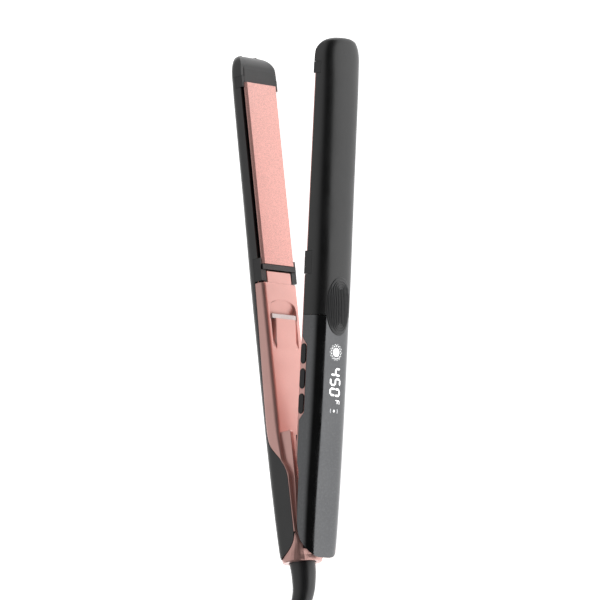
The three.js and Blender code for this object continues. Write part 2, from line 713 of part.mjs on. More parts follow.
function displayModule() {
  const bezel = box(9.5, 13.2, 84, 130, -6.5, 6.5);
  const window = box(12.6, 14, 86, 128, -5, 5);
  return bezel.subtract(window);
}

function triac() {
  return box(9.5, 12.5, 64, 74, -5, 5).add(box(9.5, 10.6, 73, 79, -5, 5));
}

function microcontroller() {
  return box(5.8, 7.3, 66, 78, -5, 5);
}

function capacitor() {
  return rod(4.9, 124, 136, -4, 2.2, 12);
}

// --------------------------------------------------------------------- cord

// Route of the cord from inside the collar to the coil: [x, along, height].
const CORD_ROUTE = [
  [-5.4, 4.9, 15], [-5.4, -1, 15], [-5.5, -7, 14.9], [-7.5, -16, 14.2], [-13.3, -24.8, 12.6],
  [-21.6, -33, 9.4], [-32.4, -39.8, 5.6], [-45, -43, 3.3],
];
const cordRoute = new THREE.CatmullRomCurve3(CORD_ROUTE.map((p) => new THREE.Vector3(...p)));
const TAIL_ROUTE = [
  [-19.5, -121.6, 3.05], [-13, -122.2, 3.3], [-5, -122.4, 5], [1.5, -122.4, 6.8], [6.6, -122.4, 7.2],
];

function strainRelief() {
  const rings = [];
  const steps = 16;
  for (let i = 0; i <= steps; i += 1) {
    const share = (BOOT_SHARE * i) / steps;
    const middle = cordRoute.getPointAt(share);
    const tangent = cordRoute.getTangentAt(share);
    const across = new THREE.Vector3(-tangent.y, tangent.x, 0).normalize();
    const up = new THREE.Vector3().crossVectors(tangent, across).normalize();
    const radius = THREE.MathUtils.lerp(BOOT_RADIUS, BOOT_TIP_RADIUS, (i / steps) ** 1.25);
    const ring = [];
    for (let k = 0; k < 16; k += 1) {
      const angle = (2 * Math.PI * k) / 16;
      ring.push(middle.clone()
        .addScaledVector(across, radius * Math.cos(angle))
        .addScaledVector(up, radius * Math.sin(angle)));
    }
    rings.push(ring);
  }
  return loft(rings);
}

function cordTube(curve, from, to, steps) {
  const points = [];
  for (let i = 0; i <= steps; i += 1) {
    points.push(curve.getPointAt(THREE.MathUtils.lerp(from, to, i / steps)));
  }
  const sheath = new THREE.Shape();
  sheath.absarc(0, 0, CORD_RADIUS, 0, 2 * Math.PI);
  return toSolid(new THREE.ExtrudeGeometry(sheath, {
    steps, curveSegments: 12, bevelEnabled: false, extrudePath: new THREE.CatmullRomCurve3(points),
  }));
}

function cordCoil() {
  const outline = [
    [COIL_RADIUS - COIL_BUILD, 2], [COIL_RADIUS - COIL_BUILD + 2, 0], [COIL_RADIUS + COIL_BUILD - 2, 0],
    [COIL_RADIUS + COIL_BUILD, 2], [COIL_RADIUS + COIL_BUILD, COIL_HEIGHT - 3],
    [COIL_RADIUS + COIL_BUILD - 3, COIL_HEIGHT], [COIL_RADIUS - COIL_BUILD + 3, COIL_HEIGHT],
    [COIL_RADIUS - COIL_BUILD, COIL_HEIGHT - 3], [COIL_RADIUS - COIL_BUILD, 2],
  ];
  const geometry = new THREE.LatheGeometry(outline.map(([r, h]) => new THREE.Vector2(r, h)), 36);
  geometry.rotateX(Math.PI / 2);
  geometry.translate(COIL_CENTRE.x, COIL_CENTRE.y, 0);
  return toSolid(geometry);
}

function plugBody() {
  const shapes = [
    [0, 4, 4], [10, 4.8, 4.8], [14, 7, 8.5], [20, PLUG_HEIGHT, 11.5], [33, PLUG_HEIGHT, 12],
    [PLUG_LENGTH, 6.4, 11.2],
  ];
  return loft(shapes.map(([x, height, width]) => {
    const ring = [];
    for (let k = 0; k < 20; k += 1) {
      const angle = (2 * Math.PI * k) / 20;
      const c = Math.cos(angle);
      const s = Math.sin(angle);
      const power = 2 / THREE.MathUtils.mapLinear(Math.min(x, 20), 0, 20, 2, 4);
      const y = width * Math.sign(c) * Math.abs(c) ** power;
      const z = height * Math.sign(s) * Math.abs(s) ** power;
      ring.push(new THREE.Vector3(PLUG_START + x, PLUG_ALONG + y, PLUG_HEIGHT + z));
    }
    return ring;
  }));
}

function plugProng(side) {
  const start = PLUG_START + PLUG_LENGTH + GAP;
  const across = PLUG_ALONG + side * PRONG_ACROSS;
  const low = PLUG_HEIGHT - 3.2;
  const blade = box(start, start + PRONG_LENGTH, across - 0.75, across + 0.75, low, PLUG_HEIGHT + 3.2);
  const end = start + PRONG_LENGTH - 1.5;
  const corners = [[-4, -2], [2, 4]].map(([low, high]) =>
    box(end, end + 3, across - 1, across + 1, PLUG_HEIGHT + low, PLUG_HEIGHT + high));
  return cutAll(blade, ...corners);
}

// ------------------------------------------------------------------ assembly

function add(group, name, solid, material) {
  const mesh = new THREE.Mesh(toGeometry(solid), finish(material));
  mesh.name = name;
  group.add(mesh);
}

function addPlateSet(group, arm, side) {
  add(group, `${arm}_plate_frame`, plateFrame(side), 'blackNylon');
  add(group, `${arm}_plate`, plate(side), 'rosePlate');
  add(group, `${arm}_heater`, heater(side), 'ceramic');
  add(group, `${arm}_heater_clip`, heaterClip(side), 'steel');
  add(group, `${arm}_float_spring_front`, floatSpring(side, 262), 'steel');
  add(group, `${arm}_float_spring_rear`, floatSpring(side, 200), 'steel');
  add(group, `${arm}_thermal_fuse`, thermalFuse(side), 'ceramic');
}

const lowerArm = new THREE.Group();
add(lowerArm, 'lower_shell', shell(LOWER, lowerEdge).subtract(bootSocket()), 'blackShell');
add(lowerArm, 'lower_housing', lowerHousing(), 'roseGold');
add(lowerArm, 'hinge_collar', hingeCollar(), 'roseGold');
addPlateSet(lowerArm, 'lower', LOWER);
add(lowerArm, 'ion_outlet_bar', ionBar(), 'clearBar');
add(lowerArm, 'ion_generator', ionGenerator(), 'darkPart');
add(lowerArm, 'ion_needle', ionNeedle(), 'brass');
add(lowerArm, 'hinge_pin_near', hingePin(1), 'steel');
add(lowerArm, 'hinge_pin_far', hingePin(-1), 'steel');
add(lowerArm, 'cord_clamp', cordClamp(), 'blackNylon');
add(lowerArm, 'clamp_screw_1', clampScrew(1), 'steel');
add(lowerArm, 'clamp_screw_2', clampScrew(-1), 'steel');
add(lowerArm, 'cord_inside', cordInside(), 'cordSheath');

const upperArm = new THREE.Group();
upperArm.position.set(0, HINGE, 0);
upperArm.rotation.z = -OPEN_ANGLE;
const upperParts = new THREE.Group();
upperParts.position.set(0, -HINGE, 0);
upperArm.add(upperParts);
add(upperParts, 'upper_shell', upperShell(PANEL_EDGE + GAP / 2, LENGTH + 1), 'blackShell');
add(upperParts, 'upper_panel', upperShell(0, PANEL_EDGE - GAP / 2), 'glossyPanel');
add(upperParts, 'thumb_pad', thumbPad(), 'blackNylon');
add(upperParts, 'upper_housing', upperHousing(), 'roseGold');
addPlateSet(upperParts, 'upper', UPPER);
add(upperParts, 'circuit_board', circuitBoard(), 'board');
add(upperParts, 'display_module', displayModule(), 'darkPart');
add(upperParts, 'triac', triac(), 'darkPart');
add(upperParts, 'microcontroller', microcontroller(), 'darkPart');
add(upperParts, 'capacitor', capacitor(), 'steel');
BUTTON_CENTRES.forEach((along, i) => {
  add(upperParts, `button_${i + 1}`, button(along), 'blackNylon');
  add(upperParts, `button_switch_${i + 1}`, tactSwitch(along), 'darkPart');
});

const arms = new THREE.Group();
arms.position.z = HALF_WIDTH;
arms.add(lowerArm, upperArm);

const cord = new THREE.Group();
add(cord, 'strain_relief', strainRelief(), 'rubber');
add(cord, 'cord_lead', cordTube(cordRoute, BOOT_SHARE + 0.005, LEAD_SHARE, 4), 'cordSheath');
add(cord, 'cord_coil', cordCoil(), 'cordSheath');
const tailRoute = new THREE.CatmullRomCurve3(TAIL_ROUTE.map((p) => new THREE.Vector3(...p)));
add(cord, 'cord_tail', cordTube(tailRoute, 0, 1, 4), 'cordSheath');
add(cord, 'plug_body', plugBody(), 'rubber');
add(cord, 'plug_prong_1', plugProng(1), 'brass');
add(cord, 'plug_prong_2', plugProng(-1), 'brass');

const flatIron = new THREE.Group();
flatIron.position.set(-MIDDLE_X, -MIDDLE_ALONG, 0);
flatIron.add(arms, cord);

export default flatIron;
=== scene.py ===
import json
import math

import bmesh
import bpy
import numpy as np
from mathutils import Matrix, Vector


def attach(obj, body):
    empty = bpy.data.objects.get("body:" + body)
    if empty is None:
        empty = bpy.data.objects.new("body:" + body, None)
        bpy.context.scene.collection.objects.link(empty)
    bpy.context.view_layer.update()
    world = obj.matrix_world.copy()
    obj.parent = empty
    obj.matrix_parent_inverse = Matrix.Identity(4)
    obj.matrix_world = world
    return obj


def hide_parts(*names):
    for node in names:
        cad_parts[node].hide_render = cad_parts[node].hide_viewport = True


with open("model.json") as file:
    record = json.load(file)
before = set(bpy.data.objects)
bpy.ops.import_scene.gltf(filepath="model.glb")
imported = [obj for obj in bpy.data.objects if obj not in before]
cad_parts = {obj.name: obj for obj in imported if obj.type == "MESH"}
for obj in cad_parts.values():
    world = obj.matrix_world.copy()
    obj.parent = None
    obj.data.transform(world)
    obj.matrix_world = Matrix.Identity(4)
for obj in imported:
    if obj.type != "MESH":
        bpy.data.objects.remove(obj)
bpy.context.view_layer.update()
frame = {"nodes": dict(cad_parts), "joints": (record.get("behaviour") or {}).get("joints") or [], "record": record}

# Lengths are millimetres until a point is placed in the frame. Each arm is drawn in its own
# terms, as in the CAD: along from the collar's end, out from the meeting plane of the
# plates, and across from the middle of the arm.
MM = 0.001
LENGTH = 306
HALF_WIDTH = 15
HINGE = 12
SIDE_HEIGHT = 6.5
SECTION_POWER = 2.35
SHELL_START = 1.2
END_RADIUS = 2.5
WALL = 1.8
GAP = 0.3
SHOULDER = 166.3
NOTCH_START = 166.65
SLOT_EDGE = 3.3
LUG_ENDS = (180.45, 284.15, 291.15)
LUG_TOP = 7
LUG_GAP = 0.12
TIP_LIP = 1.3
RAMP_START = 295.5
RAMP_DROP = 10.6
TIP_SHARE = 0.96  # keeps the ramp's end just short of the CAD's
TIP_ROUND_START = 291.5
TIP_HALF_SHARE = 0.42  # width left at the very tip, as a share of the arm's
PANEL_EDGE = 143
PAD_CENTRE = 148.7
PAD_HALF_LENGTH = 17
PAD_HALF_WIDTH = 9.6
CORD_RADIUS = 3

hinge_joint = next(j for j in frame["joints"] if j["name"] == "arm_hinge")
HINGE_POINT = Vector(hinge_joint["pos_m"])
OPEN_ANGLE = math.radians(hinge_joint["range_deg"][1])
LOWER = -1
UPPER = 1
BODY = {LOWER: "lower_arm", UPPER: "upper_arm"}


# ------------------------------------------------------------------ placing

def place(side, along, out, across):
    """A point of an arm, in the frame, in metres."""
    x = side * out * MM
    y = (along - HINGE) * MM
    if side == UPPER:
        cosine, sine = math.cos(OPEN_ANGLE), math.sin(OPEN_ANGLE)
        x, y = x * cosine + y * sine, y * cosine - x * sine
    return HINGE_POINT + Vector((x, y, across * MM))


def profile(points):
    """Smooth values through (place, value) points, never beyond the values beside them."""
    places = [p[0] for p in points]
    values = [p[1] for p in points]
    rise = [(values[i + 1] - values[i]) / (places[i + 1] - places[i]) for i in range(len(points) - 1)]
    slopes = [0.0]
    for before, after in zip(rise, rise[1:]):
        slopes.append(2 * before * after / (before + after) if before * after > 0 else 0.0)
    slopes.append(0.0)

    def value(at):
        at = min(max(at, places[0]), places[-1])
        i = min(max(int(np.searchsorted(places, at)) - 1, 0), len(points) - 2)
        width = places[i + 1] - places[i]
        t = (at - places[i]) / width
        return (values[i] * (1 + 2 * t) * (1 - t) ** 2 + values[i + 1] * t * t * (3 - 2 * t)
                + width * (slopes[i] * t * (1 - t) ** 2 + slopes[i + 1] * t * t * (t - 1)))

    return value


def catmull(points, steps):
    """Points of a smooth curve through the given points."""
    points = [np.array(p, float) for p in points]
    ends = [2 * points[0] - points[1], *points, 2 * points[-1] - points[-2]]
    line = []
    for i in range(1, len(ends) - 2):
        a, b, c, d = ends[i - 1:i + 3]
        for k in range(steps):
            t = k / steps
            line.append(0.5 * (2 * b + (c - a) * t + (2 * a - 5 * b + 4 * c - d) * t * t
                               + (3 * b - a - 3 * c + d) * t ** 3))
    line.append(points[-1])
    return line


crown = profile([
    (1, 15), (6, 15.3), (35, 16), (95, 17), (155, 17), (215, 16), (275, 15.2), (292, 14.5), (306, 13.8),
])
body_width = profile([(1, 13.6), (8, 14.1), (25, 14.7), (50, HALF_WIDTH), (LENGTH, HALF_WIDTH)])


def half_width(along):
    """Half the width of an arm, rounded off towards its tip."""
    share = min(max((along - TIP_ROUND_START) / (LENGTH - TIP_ROUND_START), 0.0), 1.0)
    return body_width(along) * (TIP_HALF_SHARE + (1 - TIP_HALF_SHARE) * math.sqrt(1 - share ** 2.6))


def end_rounding(along):
    """How much an arm's end rounds in at a place."""
    depth = max(0.0, END_RADIUS - min(along - SHELL_START, LENGTH - along))
    return END_RADIUS - math.sqrt(max(0.0, END_RADIUS ** 2 - min(depth, END_RADIUS) ** 2))


def section_point(along, angle, inset=0.0):
    """(out, across) on the rounded outer face; angle runs from 0 at one side to pi at the other."""
    shrink = inset + end_rounding(along)
    width = half_width(along) - shrink
    top = crown(along) - shrink
    cosine, sine = math.cos(angle), max(0.0, math.sin(angle))
    out = SIDE_HEIGHT + (top - SIDE_HEIGHT) * sine ** (2 / SECTION_POWER)
    return out, width * math.copysign(abs(cosine) ** (2 / SECTION_POWER), cosine)


def surface_out(along, across, inset=0.0):
    """How far out the outer face is at a place."""
    shrink = inset + end_rounding(along)
    width = half_width(along) - shrink
    top = crown(along) - shrink
    share = min(abs(across) / width, 1.0)
    return SIDE_HEIGHT + (top - SIDE_HEIGHT) * (1 - share ** SECTION_POWER) ** (1 / SECTION_POWER)


# ------------------------------------------------------------- mesh building

def new_piece(name, verts, faces, material, body, slot, *nodes):
    """A smooth mesh that rides on a body and stands for the CAD nodes named."""
    mesh = bpy.data.meshes.new(name)
    mesh.from_pydata([tuple(v) for v in verts], [], faces)
    mesh.validate()
    obj = bpy.data.objects.new(name, mesh)
    bpy.context.scene.collection.objects.link(obj)
    bm = bmesh.new()
    bm.from_mesh(mesh)
    bmesh.ops.remove_doubles(bm, verts=bm.verts, dist=1e-6)
    bmesh.ops.recalc_face_normals(bm, faces=bm.faces)
    bm.to_mesh(mesh)
    bm.free()
    mesh.polygons.foreach_set("use_smooth", [True] * len(mesh.polygons))
    mesh.materials.append(material)
    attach(obj, body)
    if nodes:
        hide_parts(*nodes)
    return obj


def grid_faces(rows, columns, closed=False):
    """Quads between rows of points, joined round when closed."""
    faces = []
    wrap = columns if closed else columns - 1
    for r in range(rows - 1):
        for c in range(wrap):
            a = r * columns + c
            b = r * columns + (c + 1) % columns
            faces.append((a, b, b + columns, a + columns))
    return faces


def add_bevel(obj, width, segments=2, angle=30.0):
    """Rounds the edges sharper than an angle; the width is in millimetres."""
    bevel = obj.modifiers.new("bevel", "BEVEL")
    bevel.width = width * MM
    bevel.segments = segments
    bevel.limit_method = "ANGLE"
    bevel.angle_limit = math.radians(angle)
    return bevel


def smooth_by_angle(obj, angle):
    """Keeps the edges that are sharper than an angle sharp."""
    mesh = obj.data
    bm = bmesh.new()
    bm.from_mesh(mesh)
    limit = math.radians(angle)
    for edge in bm.edges:
        if len(edge.link_faces) == 2:
            edge.smooth = edge.calc_face_angle(0.0) < limit
    bm.to_mesh(mesh)
    bm.free()


def refine_cad(name, bevel):
    """Rounds the edges of a CAD node that is shown as it is."""
    obj = frame["nodes"][name]
    flat = obj.modifiers.new("flatten", "DECIMATE")
    flat.decimate_type = "DISSOLVE"
    flat.angle_limit = math.radians(1.0)
    add_bevel(obj, bevel)
    for polygon in obj.data.polygons:
        polygon.use_smooth = True
    normal = obj.modifiers.new("normals", "WEIGHTED_NORMAL")
    normal.keep_sharp = True
    return obj


# ------------------------------------------------------------------ materials

class Shader:
    """A principled material with a few helpers for its nodes."""

    def __init__(self, name, base, roughness, metallic=0.0, **sockets):
        self.material = bpy.data.materials.new(name)
        self.material.use_nodes = True
        self.nodes = self.material.node_tree.nodes
        self.links = self.material.node_tree.links
        self.bsdf = self.nodes["Principled BSDF"]
        self.bsdf.inputs["Base Color"].default_value = (*base, 1)
        self.bsdf.inputs["Roughness"].default_value = roughness
        self.bsdf.inputs["Metallic"].default_value = metallic
        for key, value in sockets.items():
            self.bsdf.inputs[key.replace("_", " ")].default_value = value
        self.place = self.nodes.new("ShaderNodeTexCoord").outputs["Object"]

    def noise(self, scale, detail=3.0, rough=0.55, stretch=None):
        node = self.nodes.new("ShaderNodeTexNoise")
        node.inputs["Scale"].default_value = scale
        node.inputs["Detail"].default_value = detail
        node.inputs["Roughness"].default_value = rough
        source = self.place
        if stretch:
            mapping = self.nodes.new("ShaderNodeMapping")
            mapping.inputs["Scale"].default_value = stretch
            self.links.new(self.place, mapping.inputs["Vector"])
            source = mapping.outputs["Vector"]
        self.links.new(source, node.inputs["Vector"])
        return node.outputs["Fac"]

    def ramp(self, source, stops):
        node = self.nodes.new("ShaderNodeValToRGB")
        elements = node.color_ramp.elements
        while len(elements) < len(stops):
            elements.new(0.5)
        for element, (at, colour) in zip(elements, stops):
            element.position = at
            element.color = (*colour, 1) if len(colour) == 3 else colour
        self.links.new(source, node.inputs["Fac"])
        return node.outputs["Color"]

    def spread(self, source, low, high, start=0.0, end=1.0):
        node = self.nodes.new("ShaderNodeMapRange")
        node.inputs["From Min"].default_value = start
        node.inputs["From Max"].default_value = end
        node.inputs["To Min"].default_value = low
        node.inputs["To Max"].default_value = high
        self.links.new(source, node.inputs["Value"])
        return node.outputs["Result"]

    def mix(self, factor, a, b):
        node = self.nodes.new("ShaderNodeMix")
        node.data_type = "RGBA"
        if isinstance(factor, (int, float)):
            node.inputs["Factor"].default_value = factor
        else:
            self.links.new(factor, node.inputs["Factor"])
        for socket, value in (("A", a), ("B", b)):
            target = next(i for i in node.inputs if i.name == socket and i.type == "RGBA")
            if isinstance(value, tuple):
                target.default_value = (*value, 1)
            else:
                self.links.new(value, target)
        return next(o for o in node.outputs if o.type == "RGBA")

    def set(self, socket, source):
        self.links.new(source, self.bsdf.inputs[socket])

    def bump(self, source, distance, strength=1.0, before=None):
        node = self.nodes.new("ShaderNodeBump")
        node.inputs["Distance"].default_value = distance * MM
        node.inputs["Strength"].default_value = strength
        self.links.new(source, node.inputs["Height"])
        if before is not None:
            self.links.new(before, node.inputs["Normal"])
        self.links.new(node.outputs["Normal"], self.bsdf.inputs["Normal"])
        return node.outputs["Normal"]

    def worn_edges(self):
        """1 on sharp outer edges, broken up by noise, and 0 elsewhere."""
        pointy = self.nodes.new("ShaderNodeNewGeometry").outputs["Pointiness"]
        edges = self.spread(pointy, 0.0, 1.0, 0.52, 0.62)
        broken = self.spread(self.noise(180, 4), 0.0, 1.0, 0.45, 0.62)
        node = self.nodes.new("ShaderNodeMath")
        node.operation = "MULTIPLY"
        node.use_clamp = True
        self.links.new(edges, node.inputs[0])
        self.links.new(broken, node.inputs[1])
        return node.outputs[0]


def scaled(colour, factor):
    """A lighter or darker shade of a colour."""
    return tuple(min(1.0, c * factor) for c in colour)


def moulded(name, base, roughness, grain, grain_scale, vary, wear=0.25, metallic=0.0, **sockets):
    """Moulded plastic: fine grain, slow change of colour and gloss, and edges rubbed lighter."""
    shader = Shader(name, base, roughness, metallic, **sockets)
    cloud = shader.noise(45, 4)
    colour = shader.ramp(cloud, [(0.3, scaled(base, 1 - vary)), (0.7, scaled(base, 1 + vary))])
    speck = shader.noise(grain_scale, 2)
    colour = shader.mix(shader.spread(speck, 0.0, 0.3, 0.45, 0.75), colour, scaled(base, 1.6))
    rubbed = shader.worn_edges()
    colour = shader.mix(shader.mix(wear, (0.0, 0.0, 0.0), rubbed), colour, scaled(base, 3.2))
    shader.set("Base Color", colour)
    gloss = shader.spread(shader.noise(70, 5), roughness - 0.05, roughness + 0.07, 0.3, 0.7)
    shader.set("Roughness", gloss)
    shader.bump(speck, grain)
    return shader.material


def lacquer(name, base, roughness, metallic, flake=0.35, **sockets):
    """Pearl lacquer: tiny metal flakes under a clear coat, with orange peel."""
    shader = Shader(name, base, roughness, metallic, **sockets)
    flakes = shader.nodes.new("ShaderNodeTexVoronoi")
    flakes.inputs["Scale"].default_value = 3200
    shader.links.new(shader.place, flakes.inputs["Vector"])
    glint = shader.spread(flakes.outputs["Distance"], 0.0, flake, 0.1, 0.7)
    cloud = shader.noise(30, 3)
    colour = shader.ramp(cloud, [(0.3, scaled(base, 0.95)), (0.7, scaled(base, 1.05))])
    colour = shader.mix(glint, colour, scaled(base, 0.78))
    shader.set("Base Color", colour)
    shader.set("Roughness", shader.spread(shader.noise(90, 4), roughness - 0.05, roughness + 0.06, 0.3, 0.7))
    shader.bump(shader.noise(900, 2), 0.012)
    return shader.material


def plate_coating(name, base):
    """Ceramic-coated plate: dense speckle of lighter and darker grains."""
    shader = Shader(name, base, 0.4, 0.55)
    fine = shader.noise(2600, 3, 0.7)
    coarse = shader.noise(900, 4, 0.75)
    colour = shader.ramp(fine, [(0.36, scaled(base, 0.74)), (0.5, base), (0.64, scaled(base, 1.22))])
    colour = shader.mix(shader.spread(coarse, 0.0, 0.5, 0.5, 0.72), colour, scaled(base, 1.3))
    shader.set("Base Color", colour)
    shader.set("Roughness", shader.spread(coarse, 0.3, 0.46, 0.3, 0.7))
    shader.bump(fine, 0.02)
    return shader.material


def bright_metal(name, base, roughness, stretch):
    """Bare metal with fine drawn lines along one direction."""
    shader = Shader(name, base, roughness, 1.0)
    lines = shader.noise(900, 3, 0.6, stretch)
    shader.set("Base Color", shader.ramp(lines, [(0.3, scaled(base, 0.85)), (0.7, scaled(base, 1.1))]))
    shader.set("Roughness", shader.spread(lines, roughness * 0.7, roughness * 1.3, 0.3, 0.7))
    shader.bump(lines, 0.01)
    return shader.material


MATERIALS = {
    "black_shell": moulded("black_shell", (0.006, 0.0061, 0.0064), 0.34, 0.012, 3200, 0.1, IOR=1.66),
    "glossy_panel": moulded("glossy_panel", (0.135, 0.137, 0.141), 0.13, 0.002, 900, 0.03, 0.05,
                            metallic=1.0),
    "thumb_rest": moulded("thumb_rest", (0.02, 0.0205, 0.0215), 0.42, 0.02, 2800, 0.12, IOR=1.6),
    "black_nylon": moulded("black_nylon", (0.008, 0.008, 0.0085), 0.38, 0.03, 2200, 0.15, IOR=1.6),
    "button_black": moulded("button_black", (0.005, 0.005, 0.006), 0.3, 0.01, 2600, 0.1),
    "rose_gold_trim": lacquer("rose_gold_trim", (0.77, 0.44, 0.395), 0.33, 0.7, Coat_Weight=0.5,
                              Coat_Roughness=0.2),
    "coated_plate": plate_coating("coated_plate", (0.8, 0.455, 0.41)),
    "black_rubber": moulded("black_rubber", (0.01, 0.01, 0.011), 0.36, 0.03, 1800, 0.15, IOR=1.65),
    "cord_sheath": moulded("cord_sheath", (0.014, 0.014, 0.015), 0.46, 0.02, 1500, 0.15),
    "spring_steel": bright_metal("spring_steel", (0.6, 0.6, 0.61), 0.3, (1, 8, 1)),
    "brass_pin": bright_metal("brass_pin", (0.78, 0.6, 0.3), 0.28, (8, 1, 1)),
    "ceramic": moulded("ceramic", (0.75, 0.72, 0.66), 0.6, 0.05, 1600, 0.06),
    "circuit_green": moulded("circuit_green", (0.02, 0.1, 0.05), 0.4, 0.02, 1200, 0.2),
    "dark_part": moulded("dark_part", (0.02, 0.02, 0.022), 0.5, 0.02, 2000, 0.15),
    "smoky_clear": moulded("smoky_clear", (0.62, 0.57, 0.56), 0.1, 0.01, 1500, 0.05, metallic=0.4,
                           Coat_Weight=0.8, Coat_Roughness=0.05),
}


def dress_cad_nodes():
    """Gives each carried-over CAD node its slot's material."""
    for row in frame["record"]["subparts"]:
        obj = frame["nodes"][row["node"]]
        obj.data.materials.clear()
        obj.data.materials.append(MATERIALS[row["material_slot"]])


# --------------------------------------------------------------------- camera

CAMERA_RIGHT = (0.7216, -0.0982, -0.6854)
CAMERA_BACK = (0.6605, -0.1994, 0.7238)
CAMERA_TARGET = (-0.01395, 0.00012, 0.015)
CAMERA_DISTANCE = 3.0
CAMERA_LENS = 307.3


def make_camera():
    """A long lens from the side that the photograph was taken from."""
    right = Vector(CAMERA_RIGHT)
    back = Vector(CAMERA_BACK).normalized()
    up = back.cross(right).normalized()
    right = up.cross(back).normalized()
    data = bpy.data.cameras.new("camera")
    data.sensor_width = 36
    data.lens = CAMERA_LENS
    data.clip_end = 50
    camera = bpy.data.objects.new("camera", data)
    turn = Matrix((right, up, back)).transposed().to_4x4()
    eye = Vector(CAMERA_TARGET) + back * CAMERA_DISTANCE
    camera.matrix_world = Matrix.Translation(eye) @ turn
    bpy.context.scene.collection.objects.link(camera)
    bpy.context.scene.camera = camera


# ---------------------------------------------------------------------- cord

def cord_point(x, along, height):
    """A point of the cord's route: x from the meeting plane of the lower arm."""
    return Vector((HINGE_POINT.x + x * MM, HINGE_POINT.y + (along - HINGE) * MM, height * MM))


CORD_ROUTE = [
    (-5.4, 4.9, 15), (-5.4, -1, 15), (-5.5, -7, 14.9), (-7.5, -16, 14.2), (-13.3, -24.8, 12.6),
    (-21.6, -33, 9.4), (-32.4, -39.8, 5.6), (-45, -43, 3.3),
]
COIL_CENTRE = (-45, -82)
# Each turn of the coil after the first, as (radius, height), beside or on the last one.
COIL_LANES = [(33, 3), (27, 3), (27, 9), (33, 9), (27, 15), (33, 15), (39, 15), (39, 9)]
LANE_FROM = 315
LANE_TO = 565
PLUG_START = 7
PLUG_ALONG = -122.4
PLUG_HEIGHT = 7.2
PLUG_LENGTH = 36
PLUG_NECK = (1.1, 9.9)  # where the grip rings are
PLUG_RING_PITCH = 2.2
PLUG_RING_DEPTH = 0.45
TAIL_ROUTE = [
    (-33, -122.3, 3.05), (-19.5, -121.9, 3.05), (-13, -122.2, 3.3), (-5, PLUG_ALONG, 5),
    (1.5, PLUG_ALONG, 6.8), (PLUG_START + 1, PLUG_ALONG, PLUG_HEIGHT),
]
BOOT_SHARE = 0.64
BOOT_RADII = (7.85, 4.3)
BOOT_RINGS = 60
BOOT_LIP = 0.025  # share of the boot's length that rounds off at its thin end


def coil_turns():
    """(degrees turned, radius, height) from the cord's lead to its tail."""
    turns = [(90, 39, 3.05)]
    for k, lane in enumerate(COIL_LANES):
        turns += [(LANE_FROM + 360 * k, *lane), (LANE_TO + 360 * k, *lane)]
    turns[-1] = (3060, *COIL_LANES[-1])
    return turns + [(3150, 40.4, 3.05)]


def coil_points(step=15):
    """The coil's points, one every few degrees, eased from lane to lane."""
    turns = coil_turns()
    points = []
    angle = turns[0][0] + step
    while angle <= turns[-1][0]:
        i = next(k for k in range(len(turns) - 1) if angle <= turns[k + 1][0])
        a, b = turns[i], turns[i + 1]
        t = (angle - a[0]) / (b[0] - a[0])
        t = t * t * (3 - 2 * t)
        radius = a[1] + (b[1] - a[1]) * t
        height = a[2] + (b[2] - a[2]) * t
        turn = math.radians(angle)
        x, y = COIL_CENTRE
        points.append((x + radius * math.cos(turn), y + radius * math.sin(turn), height))
        angle += step
    return points


def make_cord():
    """The whole mains lead as one curve: lead, coil and tail."""
    points = CORD_ROUTE + coil_points() + TAIL_ROUTE
    curve = bpy.data.curves.new("mains_cord", "CURVE")
    curve.dimensions = "3D"
    curve.bevel_depth = CORD_RADIUS * MM
    curve.bevel_resolution = 5
    curve.resolution_u = 6
    curve.use_fill_caps = True
    spline = curve.splines.new("BEZIER")
    spline.bezier_points.add(len(points) - 1)
    for point, place_at in zip(spline.bezier_points, points):
        point.co = cord_point(*place_at)
        point.handle_left_type = "AUTO"
        point.handle_right_type = "AUTO"
    curve.materials.append(MATERIALS["cord_sheath"])
    cord = bpy.data.objects.new("mains_cord", curve)
    bpy.context.scene.collection.objects.link(cord)
    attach(cord, "lower_arm")
    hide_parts("cord_lead", "cord_coil", "cord_tail")
    return cord


def sweep(name, line, radii, material, body, slot, nodes=(), segments=48):
    """A round piece along a line of points in metres, closed at both ends."""
    count = len(line)
    verts = []
    across = Vector((1, 0, 0))
    for i, middle in enumerate(line):
        tangent = (line[min(i + 1, count - 1)] - line[max(i - 1, 0)]).normalized()
        across = (across - tangent * across.dot(tangent)).normalized()
        up = tangent.cross(across)
        for k in range(segments):
            angle = 2 * math.pi * k / segments
            verts.append(middle + (across * math.cos(angle) + up * math.sin(angle)) * radii[i] * MM)
    faces = grid_faces(count, segments, closed=True)
    faces.append(tuple(range(segments)))
    faces.append(tuple(range((count - 1) * segments, count * segments)))
    return new_piece(name, verts, faces, material, body, slot, *nodes)


def along_line(points, share_from, share_to, count):
    """Evenly spaced points along part of a line."""
    points = [Vector(p) for p in points]
    lengths = np.cumsum([0] + [(b - a).length for a, b in zip(points, points[1:])])
    result = []
    for target in np.linspace(share_from * lengths[-1], share_to * lengths[-1], count):
        i = min(int(np.searchsorted(lengths, target)), len(points) - 1)
        i = max(i, 1)
        t = (target - lengths[i - 1]) / (lengths[i] - lengths[i - 1])
        result.append(points[i - 1].lerp(points[i], t))
    return result


def make_boot():
    """The strain relief: a smooth taper with a rounded lip at its end."""
    route = [cord_point(*p) for p in catmull(CORD_ROUTE, 12)]
    line = along_line(route, 0.0, BOOT_SHARE, BOOT_RINGS)
    radii = []
    for t in np.linspace(0, 1, BOOT_RINGS):
        radius = BOOT_RADII[0] + (BOOT_RADII[1] - BOOT_RADII[0]) * t ** 1.25
        radii.append(radius - 0.7 * max(0.0, (t - 1 + BOOT_LIP) / BOOT_LIP) ** 2)
    boot = sweep("boot", line, radii, MATERIALS["black_rubber"], "lower_arm", "black_rubber",
                 ["strain_relief"])
    smooth_by_angle(boot, 40)
    return boot


make_camera()
dress_cad_nodes()
mains_cord = make_cord()
boot = make_boot()


